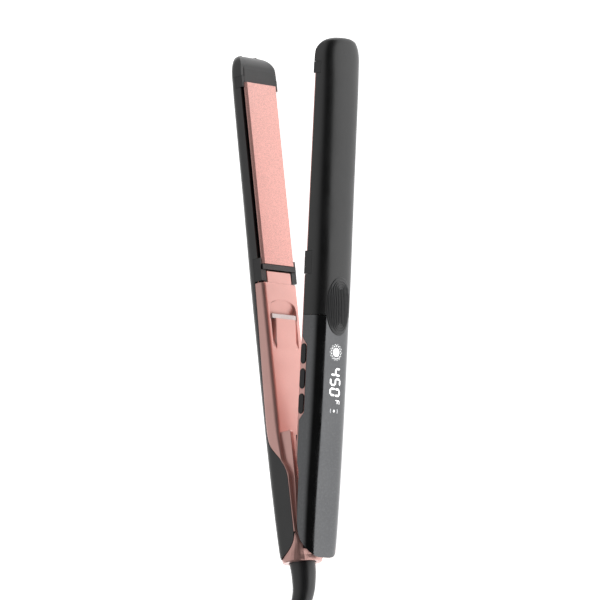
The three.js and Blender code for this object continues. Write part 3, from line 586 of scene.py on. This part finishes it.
# --------------------------------------------------------------------- shells

LOWER_EDGE = [
    (0.2, 17), (1.2, 13.2), (2.8, 9), (5.4, 4), (9.5, -0.8), (14, -3), (22, -3.5), (44, -3.6), (50.5, -3.2),
    (55.5, -1.6), (60, 1.2), (64.5, 5), (70, 8.6), (79, 10), (96, 9.6), (130, 8.3), (156, 7.5),
    (SHOULDER, 7.3),
]
UPPER_EDGE = [
    (0.2, 16.4), (1.8, 15), (5, 12.8), (8.4, 10.4), (12, 7.8), (16, 5.9), (21, 5), (30, 4.7), (48, 4.6),
    (52.5, 4.3), (57, 3), (62, 2.9), (81.5, 2.9),
]
UPPER_BULGE = [(86, 6.6), (125.4, 6.6), (130, 2.7), (SHOULDER, 2.2)]


def edge_line(side):
    """(places, outs) of a shell's edge up to the shoulder."""
    if side == LOWER:
        line = catmull(LOWER_EDGE, 8)
    else:
        line = catmull(UPPER_EDGE, 8) + [np.array(p, float) for p in UPPER_BULGE]
    return [p[0] for p in line], [p[1] for p in line]


EDGES = {side: edge_line(side) for side in (LOWER, UPPER)}


def ramp_out(along):
    """How far out the tip's ramp is from the meeting plane: a quarter of an ellipse."""
    share = min(max((along - RAMP_START) / (LENGTH - RAMP_START), 0.0), 1.0)
    return TIP_LIP + RAMP_DROP * TIP_SHARE * (1 - math.sqrt(1 - share * share))


def shell_edge(side, along):
    """Where the shell's edge is: its smooth line, then the notches beside the plate."""
    if along <= NOTCH_START:
        return float(np.interp(along, *EDGES[side])) + GAP / 2
    if along <= LUG_ENDS[0] or LUG_ENDS[1] < along <= LUG_ENDS[2]:
        return LUG_TOP + LUG_GAP
    if along <= LUG_ENDS[1]:
        return SLOT_EDGE
    return max(TIP_LIP + GAP, ramp_out(along))


def clipped_section(side, along, inset=0.0, skirt=4, over=44):
    """Points of the outer face between the two edges at one place, as (out, across)."""
    edge = shell_edge(side, along)
    angles = np.linspace(0, math.pi / 2, 160)
    arc = [section_point(along, a, inset) for a in angles]
    low = min(edge, SIDE_HEIGHT) - 0.001
    line = [(low, arc[0][1])] + arc
    outs = np.array([p[0] for p in line])
    widths = np.array([p[1] for p in line])
    top = outs[-1]
    edge = min(edge, top - 0.02)
    span = top - edge
    if along > SHOULDER:
        knee = min(8.2, edge + 0.45 * span)
    else:
        knee = edge + min(max(0.8, 7.6 - edge), 0.35 * span)
    lengths = np.concatenate([[0], np.cumsum(np.hypot(np.diff(outs), np.diff(widths)))])
    at_edge = np.interp(edge, outs, lengths)
    at_knee = np.interp(knee, outs, lengths)
    places = np.concatenate([
        np.linspace(at_edge, at_knee, skirt, endpoint=False),
        at_knee + (lengths[-1] - at_knee) * np.linspace(0, 1, over // 2 + 1),
    ])
    half = [(float(np.interp(p, lengths, outs)), float(np.interp(p, lengths, widths))) for p in places]
    half[-1] = (half[-1][0], 0.0)
    return half + [(out, -across) for out, across in reversed(half[:-1])]


def stations(start, end):
    """Places along a shell, in order.

    They are close together where its hinge end, the upper arm's bulge and the tip curve most,
    and on both sides of each step of its edge.
    """
    places = set(np.arange(math.ceil(start / 2.0) * 2.0, end, 2.0))
    for step in (NOTCH_START, *LUG_ENDS):
        places |= {step - 0.02, step + 0.02}
    near = [1.3, 1.5, 1.7, 1.9, 2.2, 2.6, 3.1, 3.7, 4.5, 5.5, 6.6, 7.6, 8.8, 11, 13, 57, 59, 61, 63, 65, 67]
    tip = [295.5, 297, 299, 301, 302.5, 303.5, 304.2, 304.8, 305.2, 305.5, 305.7, 305.85]
    bulge = [81.5, 83, 84.5, 86, 125.4, 127, 128.5, 130]
    places |= {p for p in near + tip + bulge if start < p < end}
    places = {p for p in places if start < p < end and crown(p) - end_rounding(p) > min_edge(p) + 0.05}
    return sorted(places | {start, end})


def min_edge(along):
    """The lower of the two shells' edges at a place."""
    return min(shell_edge(LOWER, along), shell_edge(UPPER, along))


def inner_section(side, along, outer):
    """The inside of the shell's wall, or a straight face between its edges where it is solid."""
    edge = shell_edge(side, along)
    top = crown(along) - end_rounding(along) - WALL
    if along > LUG_ENDS[2] or top < edge + 0.3:
        out, across = outer[0]
        return [(out, across * (1 - 2 * i / (len(outer) - 1))) for i in range(len(outer))]
    return clipped_section(side, along, WALL)


def shell_skin(name, side, start, end, slot, node):
    """A shell as one closed wall, solid behind the ramp at its tip."""
    rows = []
    for along in stations(start, end):
        least_height = 0.5 if along > RAMP_START else 0.05
        if crown(along) - end_rounding(along) > shell_edge(side, along) + least_height:
            rows.append(along)
    verts = []
    for along in rows:
        outer = clipped_section(side, along)
        ring = outer + inner_section(side, along, outer)[::-1]
        verts += [place(side, along, out, across) for out, across in ring]
    columns = len(verts) // len(rows)
    faces = grid_faces(len(rows), columns, closed=True)
    half = columns // 2
    for start_at in (0, (len(rows) - 1) * columns):
        for c in range(half - 1):
            left, right = start_at + c, start_at + columns - 1 - c
            faces.append((left, left + 1, right - 1, right))
    obj = new_piece(name, verts, faces, MATERIALS[slot], BODY[side], slot, node)
    smooth_by_angle(obj, 40)
    add_bevel(obj, 0.3, 2, 40)
    return obj


shell_skin("lower_shell_skin", LOWER, SHELL_START, LENGTH, "black_shell", "lower_shell")
shell_skin("upper_shell_skin", UPPER, PANEL_EDGE + GAP / 2, LENGTH, "black_shell", "upper_shell")
shell_skin("upper_panel_skin", UPPER, SHELL_START, PANEL_EDGE - GAP / 2, "glossy_panel", "upper_panel")


# ------------------------------------------------------------- lower housing

FACE_OUT = 1.0
HOUSING_START = 16.3
FACE_AT = profile([
    (HOUSING_START, -4.3), (49, -4.3), (55, -2.4), (60, 0.1), (66, 0.6), (76, FACE_OUT), (SHOULDER, FACE_OUT),
])
CORNER_AT = profile([(HOUSING_START, 0.4), (56, 0.5), (84, 2.8), (SHOULDER, 2.8)])
CHANNEL_OUT = 0.4
CHANNEL_HALF_WIDTH = 9.8
NOZZLE_FOOT = 126
NOZZLE_MOUTH = 144.2
NOZZLE_TOP = -0.7
NOZZLE_HALF_WIDTH = 8.4
SCOOP_FOOT = 147.2
SCOOP_END = 156
SCOOP_DEPTH = 3.6
SCOOP_HALF_WIDTH = 11.2
SLOT_ALONG = (71.6, 75.2)
SLOT_ACROSS = (-6.2, -0.6)
END_ROUND = 1.0
CHEEK_ACROSS = (9.8, 12.4)
NECK_HALF_WIDTH = 10.5


def smooth01(x):
    """A soft step from 0 to 1."""
    x = min(max(x, 0.0), 1.0)
    return x * x * (3 - 2 * x)


def mix(a, b, share):
    return a + (b - a) * share


def housing_face(along, across):
    """How far out the lower housing's inner face is: channel, ion nozzle, scoop and latch slot."""
    off = abs(across)
    out = FACE_AT(along)
    in_channel = smooth01((CHANNEL_HALF_WIDTH - off) / 0.3 + 0.5) * smooth01((79 - along) / 0.5)
    out = mix(out, max(out, CHANNEL_OUT), in_channel)
    rise = (along - NOZZLE_FOOT) / (NOZZLE_MOUTH - 1 - NOZZLE_FOOT)
    if 0 < rise and along <= NOZZLE_MOUTH:
        rise = min(rise, 1.0)
        groove = max(0.0, 1 - abs(off - NOZZLE_HALF_WIDTH - 1.1) / 1.3)
        out += 3.2 * rise * smooth01(groove * 1.6)
        top = mix(FACE_OUT, NOZZLE_TOP, rise)
        out = mix(out, top, smooth01((NOZZLE_HALF_WIDTH - off) / 0.35 + 0.5))
    if along > NOZZLE_MOUTH:
        arch = SCOOP_FOOT + (SCOOP_END - SCOOP_FOOT) * max(0.0, 1 - (off / SCOOP_HALF_WIDTH) ** 2) ** 0.3
        inside = smooth01((arch - along) / 0.9 + 0.5) * smooth01((SCOOP_HALF_WIDTH - off) / 0.35 + 0.5)
        floor = FACE_OUT + SCOOP_DEPTH * min(1.0, (SCOOP_END + 0.8 - along) / (SCOOP_END - SCOOP_FOOT))
        out = mix(out, max(out, floor), inside)
    in_slot = SLOT_ALONG[0] < along < SLOT_ALONG[1] and SLOT_ACROSS[0] < across < SLOT_ACROSS[1]
    return out + (4.0 if in_slot else 0.0)


def side_across(along, out):
    """Half width of an arm's outer face at a height."""
    width = half_width(along)
    top = crown(along)
    if out <= SIDE_HEIGHT:
        return width
    share = min((out - SIDE_HEIGHT) / (top - SIDE_HEIGHT), 1.0)
    return width * (1 - share ** SECTION_POWER) ** (1 / SECTION_POWER)


def housing_ring(along, columns=92, inset=0.0):
    """One section of the lower housing: side, rounded corner, face, and back down the far side."""
    face = FACE_AT(along)
    corner = CORNER_AT(along)
    edge = float(np.interp(along, *EDGES[LOWER])) - GAP / 2
    knee = face + corner
    edge = max(edge, knee + 0.05)
    side = [(out, side_across(along, out) - inset) for out in np.linspace(edge, knee, 9)[:-1]]
    width = half_width(along)
    turn = [(face + corner * (1 - math.sin(a)) + inset, width - corner * (1 - math.cos(a)) - inset)
            for a in np.linspace(0, math.pi / 2, 9)]
    flat_width = width - corner - inset
    flat = [(housing_face(along, across) + inset, across)
            for across in np.linspace(flat_width, -flat_width, columns)[1:-1]]
    near = side + turn
    return near + flat + [(out, -across) for out, across in reversed(near)]


def housing_places():
    """Places along the lower housing, close together at its slot, nozzle and scoop."""
    places = set(np.arange(17, SHOULDER - END_ROUND, 1.0)) | {HOUSING_START}
    for start, end in ((70.6, 76.4), (124.5, 158.5)):
        places |= set(np.arange(start, end, 0.3))
    for step in (*SLOT_ALONG, NOZZLE_MOUTH):
        places |= {step - 0.03, step + 0.03}
    return sorted(places)


def lower_housing():
    """The open tray of the lower housing, with a rounded end; the faces deep in its latch slot get black plastic
    as painted shade.
    """
    rings = []
    for along in housing_places():
        rings.append((along, housing_ring(along)))
    for angle in np.linspace(0, math.pi / 2, 6):
        along = SHOULDER - END_ROUND + END_ROUND * math.sin(angle)
        rings.append((along, housing_ring(along, inset=END_ROUND * (1 - math.cos(angle)))))
    for inset in (2.5, 4.5):
        rings.append((SHOULDER, housing_ring(SHOULDER, inset=inset)))
    verts = [place(LOWER, along, out, across) for along, ring in rings for out, across in ring]
    columns = len(rings[0][1])
    obj = new_piece("lower_housing_skin", verts, grid_faces(len(rings), columns), MATERIALS["rose_gold_trim"],
                    "lower_arm", "rose_gold_trim", "lower_housing")
    inner = place(LOWER, 100, -1, 0) - place(LOWER, 100, 0, 0)
    if sum(p.normal.dot(inner) * p.area for p in obj.data.polygons) < 0:
        obj.data.flip_normals()
    smooth_by_angle(obj, 50)
    obj.data.materials.append(MATERIALS["button_black"])
    # Painted shade: the faces deep inside the latch slot are rose-gold lacquer in shadow, and here they get the
    # black button plastic instead.
    for polygon in obj.data.polygons:
        x, y, z = polygon.center
        along = (y - HINGE_POINT.y) / MM + HINGE
        out = (HINGE_POINT.x - x) / MM
        if SLOT_ALONG[0] - 0.1 < along < SLOT_ALONG[1] + 0.1 and out > 2.0 and abs(z / MM - 15) < 8:
            polygon.material_index = 1
    thick = obj.modifiers.new("wall", "SOLIDIFY")
    thick.thickness = 1.0 * MM
    thick.offset = -1
    return obj


def extruded(name, side, outline, across_from, across_to, slot, bevel, segments=3):
    """A plate drawn as (along, out) points, made solid across the arm, with rounded edges."""
    verts = []
    for across in (across_from, across_to):
        verts += [place(side, along, out, across) for along, out in outline]
    count = len(outline)
    faces = [tuple(range(count)), tuple(range(count, 2 * count))]
    faces += [(i, (i + 1) % count, count + (i + 1) % count, count + i) for i in range(count)]
    obj = new_piece(name, verts, faces, MATERIALS[slot], BODY[side], slot)
    add_bevel(obj, bevel, segments, 35)
    normal = obj.modifiers.new("normals", "WEIGHTED_NORMAL")
    normal.keep_sharp = True
    return obj


def lower_housing_parts():
    """The guide cheeks beside the channel, and the neck under the plate frame."""
    cheek = [(HOUSING_START, 2.4), (HOUSING_START, -4)]
    cheek += [tuple(p) for p in catmull([(HOUSING_START, -4), (30, -5.5), (45, -6.6), (57, -6.8)], 6)[1:]]
    cheek += [(75, -6.8), (76, -6), (76, 2.4)]
    extruded("guide_cheek_near", LOWER, cheek, *CHEEK_ACROSS, "rose_gold_trim", 0.35)
    extruded("guide_cheek_far", LOWER, cheek, -CHEEK_ACROSS[1], -CHEEK_ACROSS[0], "rose_gold_trim", 0.35)
    neck = [(160, 1.35), (173.3, 1.35), (173.3, 9), (160, 9)]
    extruded("lower_neck", LOWER, neck, -NECK_HALF_WIDTH, NECK_HALF_WIDTH, "rose_gold_trim", 0.8, 4)


lower_housing()
lower_housing_parts()


# ------------------------------------------------------------------ thumb pad

def pad_shape(u, angle):
    """(along, across) in the pad's oval: u runs from 0 in the middle to 1 at the rim."""
    power = 2 / 2.25
    cosine, sine = math.cos(angle), math.sin(angle)
    reach = math.copysign(abs(cosine) ** power, cosine) * PAD_HALF_LENGTH
    width = math.copysign(abs(sine) ** power, sine) * PAD_HALF_WIDTH
    return PAD_CENTRE + u * reach, u * width


RIDGE_SPINE = 9.5
RIDGE_LEAN = 0.04
RIDGE_PITCH = 1.35
RIDGE_HEIGHT = 0.42
PAD_LIFT = 0.42
RIDGES_END = 0.93  # share of the pad's reach where the ridges have died away


def pad_ridge(along, across):
    """Height of the contour ribs: lines at equal distances from a short, leaning line."""
    step = along - PAD_CENTRE
    near = min(max(step, -RIDGE_SPINE), RIDGE_SPINE)
    bend = 0.15 * math.sin(0.33 * step + 0.6)
    distance = math.hypot(step - near, across - RIDGE_LEAN * near - bend)
    return RIDGE_HEIGHT * (0.5 + 0.5 * math.cos(2 * math.pi * distance / RIDGE_PITCH))


def make_thumb_pad():
    """The ribbed oval: rings of points from its middle to its rim."""
    rings = []
    turns = 220
    for u in np.linspace(0.012, RIDGES_END, 84):
        fade = smooth01((RIDGES_END - u) / 0.07)
        ring = []
        for k in range(turns):
            along, across = pad_shape(u, 2 * math.pi * k / turns)
            lift = PAD_LIFT + pad_ridge(along, across) * fade
            ring.append((along, surface_out(along, across) + lift, across))
        rings.append(ring)
    # The rim rounds over and goes down into the shell.
    for u, lift in ((0.955, PAD_LIFT), (0.975, 0.38), (0.99, 0.26), (0.999, 0.05), (1.0, -0.3)):
        ring = []
        for k in range(turns):
            along, across = pad_shape(u, 2 * math.pi * k / turns)
            ring.append((along, surface_out(along, across) + lift, across))
        rings.append(ring)
    verts = [place(UPPER, *point) for ring in rings for point in ring]
    faces = grid_faces(len(rings), turns, closed=True)
    faces.append(tuple(range(turns)))
    faces.append(tuple(range((len(rings) - 1) * turns, len(rings) * turns)))
    return new_piece("ribbed_thumb_pad", verts, faces, MATERIALS["thumb_rest"], "upper_arm", "thumb_rest",
                     "thumb_pad")


make_thumb_pad()


# -------------------------------------------------------------------- display

DIGIT_WIDTH = 4.9
DIGIT_HEIGHT = 8.7
STROKE = 1.2
SLANT = 0.06
DIGITS_AT = (113.2, 5.0)
DIGIT_STEP = 5.9
UNIT_AT = (94.3, 0.4)
SUN_AT = (121.8, 1.1)
SUN_RADIUS = 2.6
SUN_RAYS = 14
MARK_AT = (87.7, 0.7)
SEGMENTS = {"4": "fgbc", "5": "afgcd", "0": "abcdef", "F": "aefg"}


def segment_outline(which, width, height, stroke):
    """Outline of one display segment, in reading directions: right and up."""
    gap = 0.13 * stroke
    half = stroke / 2
    low, middle, high = half, height / 2, height - half
    left, right = half, width - half
    lines = {
        "a": ((left, high), (right, high)), "b": ((right, high), (right, middle)),
        "c": ((right, middle), (right, low)), "d": ((left, low), (right, low)),
        "e": ((left, middle), (left, low)), "f": ((left, high), (left, middle)),
        "g": ((left, middle), (right, middle)),
    }
    (x0, y0), (x1, y1) = lines[which]
    reach = math.hypot(x1 - x0, y1 - y0)
    dx, dy = (x1 - x0) / reach, (y1 - y0) / reach
    shape = [(gap, 0), (half + gap, half), (reach - half - gap, half), (reach - gap, 0),
             (reach - half - gap, -half), (half + gap, -half)]
    return [(x0 + dx * a - dy * b, y0 + dy * a + dx * b) for a, b in shape]


def disc(x, y, radius, count):
    """Outline of a round dot."""
    return [(x + radius * math.cos(2 * math.pi * k / count), y + radius * math.sin(2 * math.pi * k / count))
            for k in range(count)]


def arc_band(x, y, radius, stroke, start, end, count=8):
    """A curved stroke of even width."""
    inner = [(x + (radius - stroke / 2) * math.cos(a), y + (radius - stroke / 2) * math.sin(a))
             for a in np.linspace(start, end, count)]
    outer = [(x + (radius + stroke / 2) * math.cos(a), y + (radius + stroke / 2) * math.sin(a))
             for a in np.linspace(end, start, count)]
    return inner + outer


def lit_shapes(name, outlines, material):
    """Flat shapes of (along, across) points, laid on the panel's curved face."""
    bm = bmesh.new()
    for outline in outlines:
        bm.faces.new([bm.verts.new((along, across, 0)) for along, across in outline])
    bmesh.ops.triangulate(bm, faces=bm.faces)
    for _ in range(3):
        long_edges = [e for e in bm.edges if e.calc_length() > 0.9]
        bmesh.ops.subdivide_edges(bm, edges=long_edges, cuts=1)
        bmesh.ops.triangulate(bm, faces=bm.faces)
    verts = [place(UPPER, v.co.x, surface_out(v.co.x, v.co.y) + 0.07, v.co.y) for v in bm.verts]
    bm.verts.index_update()
    faces = [tuple(v.index for v in f.verts) for f in bm.faces]
    bm.free()
    obj = new_piece(name, verts, faces, material, "upper_arm", "glossy_panel")
    thick = obj.modifiers.new("film", "SOLIDIFY")
    thick.thickness = 0.05 * MM
    return obj


def glyph(text, along, across, width, height, stroke):
    """Outlines of one character that reads towards the hinge, with its top to the far side."""
    outlines = []
    for which in SEGMENTS[text]:
        outline = segment_outline(which, width, height, stroke)
        outlines.append([(along - (x + SLANT * y), across - y) for x, y in outline])
    return outlines


def glow(name, colour, strength):
    """A display light with a slightly uneven strength."""
    shader = Shader(name, colour, 0.4)
    shader.bsdf.inputs["Emission Color"].default_value = (*colour, 1)
    uneven = shader.spread(shader.noise(500, 2), strength * 0.9, strength * 1.1, 0.3, 0.7)
    shader.set("Emission Strength", uneven)
    return shader.material


def sun_icon():
    """A round disc split by a slit, with two rings of dots round it."""
    x, y = SUN_AT
    shapes = []
    for k in range(SUN_RAYS):
        angle = 2 * math.pi * k / SUN_RAYS
        for radius, size, turn in ((3.75, 0.42, 0.0), (4.65, 0.3, math.pi / SUN_RAYS)):
            dot_x = x + radius * math.cos(angle + turn)
            dot_y = y + radius * math.sin(angle + turn)
            shapes.append(disc(dot_x, dot_y, size, 8))
    for start in (0, math.pi):
        turns = np.linspace(start + 0.09, start + math.pi - 0.09, 17)
        shapes.append([(x + SUN_RADIUS * math.cos(a), y + SUN_RADIUS * math.sin(a)) for a in turns])
    return shapes


def make_display():
    """Lit digits, unit, sun and a small mark, as thin films on the panel."""
    bright = glow("display_light", (1.0, 1.0, 1.0), 1.0)
    dim = glow("display_light_dim", (0.75, 0.76, 0.78), 0.45)
    shapes = []
    for i, text in enumerate("450"):
        along = DIGITS_AT[0] - DIGIT_STEP * i
        shapes += glyph(text, along, DIGITS_AT[1], DIGIT_WIDTH, DIGIT_HEIGHT, STROKE)
    shapes += glyph("F", *UNIT_AT, 2.7, 4.2, 0.6)
    shapes += sun_icon()
    shapes.append(disc(*MARK_AT, 0.75, 14))
    lit_shapes("display_digits", shapes, bright)
    brackets = [arc_band(*MARK_AT, 2.9, 0.5, math.radians(middle - 24), math.radians(middle + 24))
                for middle in (90, 270)]
    lit_shapes("display_brackets", brackets, dim)


make_display()


# ------------------------------------------------------------ plug and coil tie

def make_plug():
    """The moulded plug: a soft neck with grip rings that widens into the body."""
    shapes = [
        (0, 4, 4), (10, 4.8, 4.8), (14, 7, 8.5), (20, 7.2, 11.5), (33, 7.2, 12), (PLUG_LENGTH, 6.4, 11.2),
    ]
    # Each shape is (place along the plug, half its height, half its width).
    tall = profile([(x, h) for x, h, w in shapes])
    wide = profile([(x, w) for x, h, w in shapes])
    segments = 64
    verts = []
    places = list(np.linspace(0, 35.2, 90)) + [35.6, 35.85, PLUG_LENGTH]
    for x in places:
        power = 2 / (2 + 2 * smooth01(x / 20))
        ring_cut = 0.0
        if PLUG_NECK[0] < x < PLUG_NECK[1]:
            ring_cut = PLUG_RING_DEPTH * (0.5 - 0.5 * math.cos(2 * math.pi * x / PLUG_RING_PITCH))
        ends = 0.7 * (max(0.0, (x - 35.0)) ** 2 + max(0.0, 0.6 - x) ** 2)
        for k in range(segments):
            angle = 2 * math.pi * k / segments
            cosine, sine = math.cos(angle), math.sin(angle)
            y = (wide(x) - ring_cut - ends) * math.copysign(abs(cosine) ** power, cosine)
            z = (tall(x) - ring_cut - ends) * math.copysign(abs(sine) ** power, sine)
            verts.append(cord_point(PLUG_START + x, PLUG_ALONG + y, PLUG_HEIGHT + z))
    faces = grid_faces(len(places), segments, closed=True)
    faces.append(tuple(range(segments)))
    faces.append(tuple(range((len(places) - 1) * segments, len(places) * segments)))
    obj = new_piece("plug", verts, faces, MATERIALS["black_rubber"], "lower_arm", "black_rubber", "plug_body")
    smooth_by_angle(obj, 50)
    return obj


def make_coil_tie():
    """A strap round the whole band of the coil: a closed band of four strips of faces."""
    half_build, height, lift = 9.5, 18.3, 0.35
    corner_radius = 3.2
    thickness = 0.35
    middle_lane = COIL_LANES[0][0]
    outline = []
    for corner_x, corner_z, start in ((1, 1, 0), (-1, 1, 90), (-1, -1, 180), (1, -1, 270)):
        for angle in np.linspace(math.radians(start), math.radians(start + 90), 7):
            x = corner_x * (half_build - corner_radius) + corner_radius * math.cos(angle)
            z = corner_z * (height / 2 - corner_radius) + corner_radius * math.sin(angle)
            outline.append((x, lift + height / 2 + z))
    verts = []
    count = len(outline)
    for wide in (-2.5, 2.5):
        for grow in (thickness, -thickness):
            for i, (x, z) in enumerate(outline):
                before, after = outline[i - 1], outline[(i + 1) % count]
                tangent = Vector((after[0] - before[0], after[1] - before[1])).normalized()
                px, pz = x + tangent.y * grow, z - tangent.x * grow
                along = COIL_CENTRE[1] - middle_lane - px
                verts.append(cord_point(COIL_CENTRE[0] + wide, along, max(pz, 0.02)))
    faces = []
    for a, b in ((0, 1), (1, 3), (3, 2), (2, 0)):
        for i in range(count):
            k = (i + 1) % count
            faces.append((a * count + i, a * count + k, b * count + k, b * count + i))
    obj = new_piece("coil_tie", verts, faces, MATERIALS["black_nylon"], "lower_arm", "black_nylon")
    smooth_by_angle(obj, 50)
    return obj


plug = make_plug()
coil_tie = make_coil_tie()

for name, width in (("upper_housing", 0.35), ("hinge_collar", 0.3), ("lower_plate_frame", 0.2),
                    ("upper_plate_frame", 0.2), ("lower_plate", 0.25), ("upper_plate", 0.25),
                    ("ion_outlet_bar", 0.25), ("button_1", 0.35), ("button_2", 0.35), ("button_3", 0.35),
                    ("plug_prong_1", 0.15), ("plug_prong_2", 0.15)):
    refine_cad(name, width)


# ------------------------------------------------------------ floor and light

FLOOR_REACH = 6.0
FLOOR_GLOW = 1.05
SKY_TOWARDS = (-0.62, 0.2, 0.76)
SKY_DARK = 0.03
SKY_BRIGHT = 0.68
FILL_AT = (1.6, 0.6, 1.4)
FILL_SIZE = 1.6
FILL_POWER = 11


def make_floor():
    """A plain pale floor that glows like a lit white sweep."""
    shader = Shader("pale_floor", (0.9, 0.9, 0.9), 0.9)
    tone = shader.noise(3, 2)
    shader.set("Base Color", shader.ramp(tone, [(0.3, (0.89, 0.89, 0.89)), (0.7, (0.91, 0.91, 0.91))]))
    shader.bsdf.inputs["Emission Color"].default_value = (1, 1, 1, 1)
    shader.bsdf.inputs["Emission Strength"].default_value = FLOOR_GLOW
    mesh = bpy.data.meshes.new("floor")
    corners = [(x * FLOOR_REACH, y * FLOOR_REACH, 0) for x, y in ((-1, -1), (1, -1), (1, 1), (-1, 1))]
    mesh.from_pydata(corners, [], [(0, 1, 2, 3)])
    mesh.materials.append(shader.material)
    floor = bpy.data.objects.new("floor", mesh)
    bpy.context.scene.collection.objects.link(floor)


def make_fill():
    """A soft fill from the viewer's side that doesn't show in glossy faces."""
    data = bpy.data.lights.new("fill", "AREA")
    data.size = FILL_SIZE
    data.energy = FILL_POWER
    fill = bpy.data.objects.new("fill", data)
    fill.location = FILL_AT
    fill.rotation_euler = (-Vector(FILL_AT)).to_track_quat("-Z", "Y").to_euler()
    fill.visible_glossy = False
    bpy.context.scene.collection.objects.link(fill)


def make_light():
    """A dark studio with a wide pale glow high on the left."""
    world = bpy.data.worlds.new("studio")
    world.use_nodes = True
    nodes, links = world.node_tree.nodes, world.node_tree.links
    place_at = nodes.new("ShaderNodeTexCoord")
    dot = nodes.new("ShaderNodeVectorMath")
    dot.operation = "DOT_PRODUCT"
    links.new(place_at.outputs["Generated"], dot.inputs[0])
    dot.inputs[1].default_value = Vector(SKY_TOWARDS).normalized()
    spread = nodes.new("ShaderNodeMapRange")
    spread.interpolation_type = "SMOOTHSTEP"
    spread.inputs["From Min"].default_value = 0.2
    spread.inputs["From Max"].default_value = 0.95
    spread.inputs["To Min"].default_value = SKY_DARK
    spread.inputs["To Max"].default_value = SKY_BRIGHT
    links.new(dot.outputs["Value"], spread.inputs["Value"])
    links.new(spread.outputs["Result"], nodes["Background"].inputs["Strength"])
    nodes["Background"].inputs["Color"].default_value = (1, 1, 1, 1)
    bpy.context.scene.world = world
    bpy.context.scene.view_settings.view_transform = "Standard"


make_floor()
make_light()
make_fill()
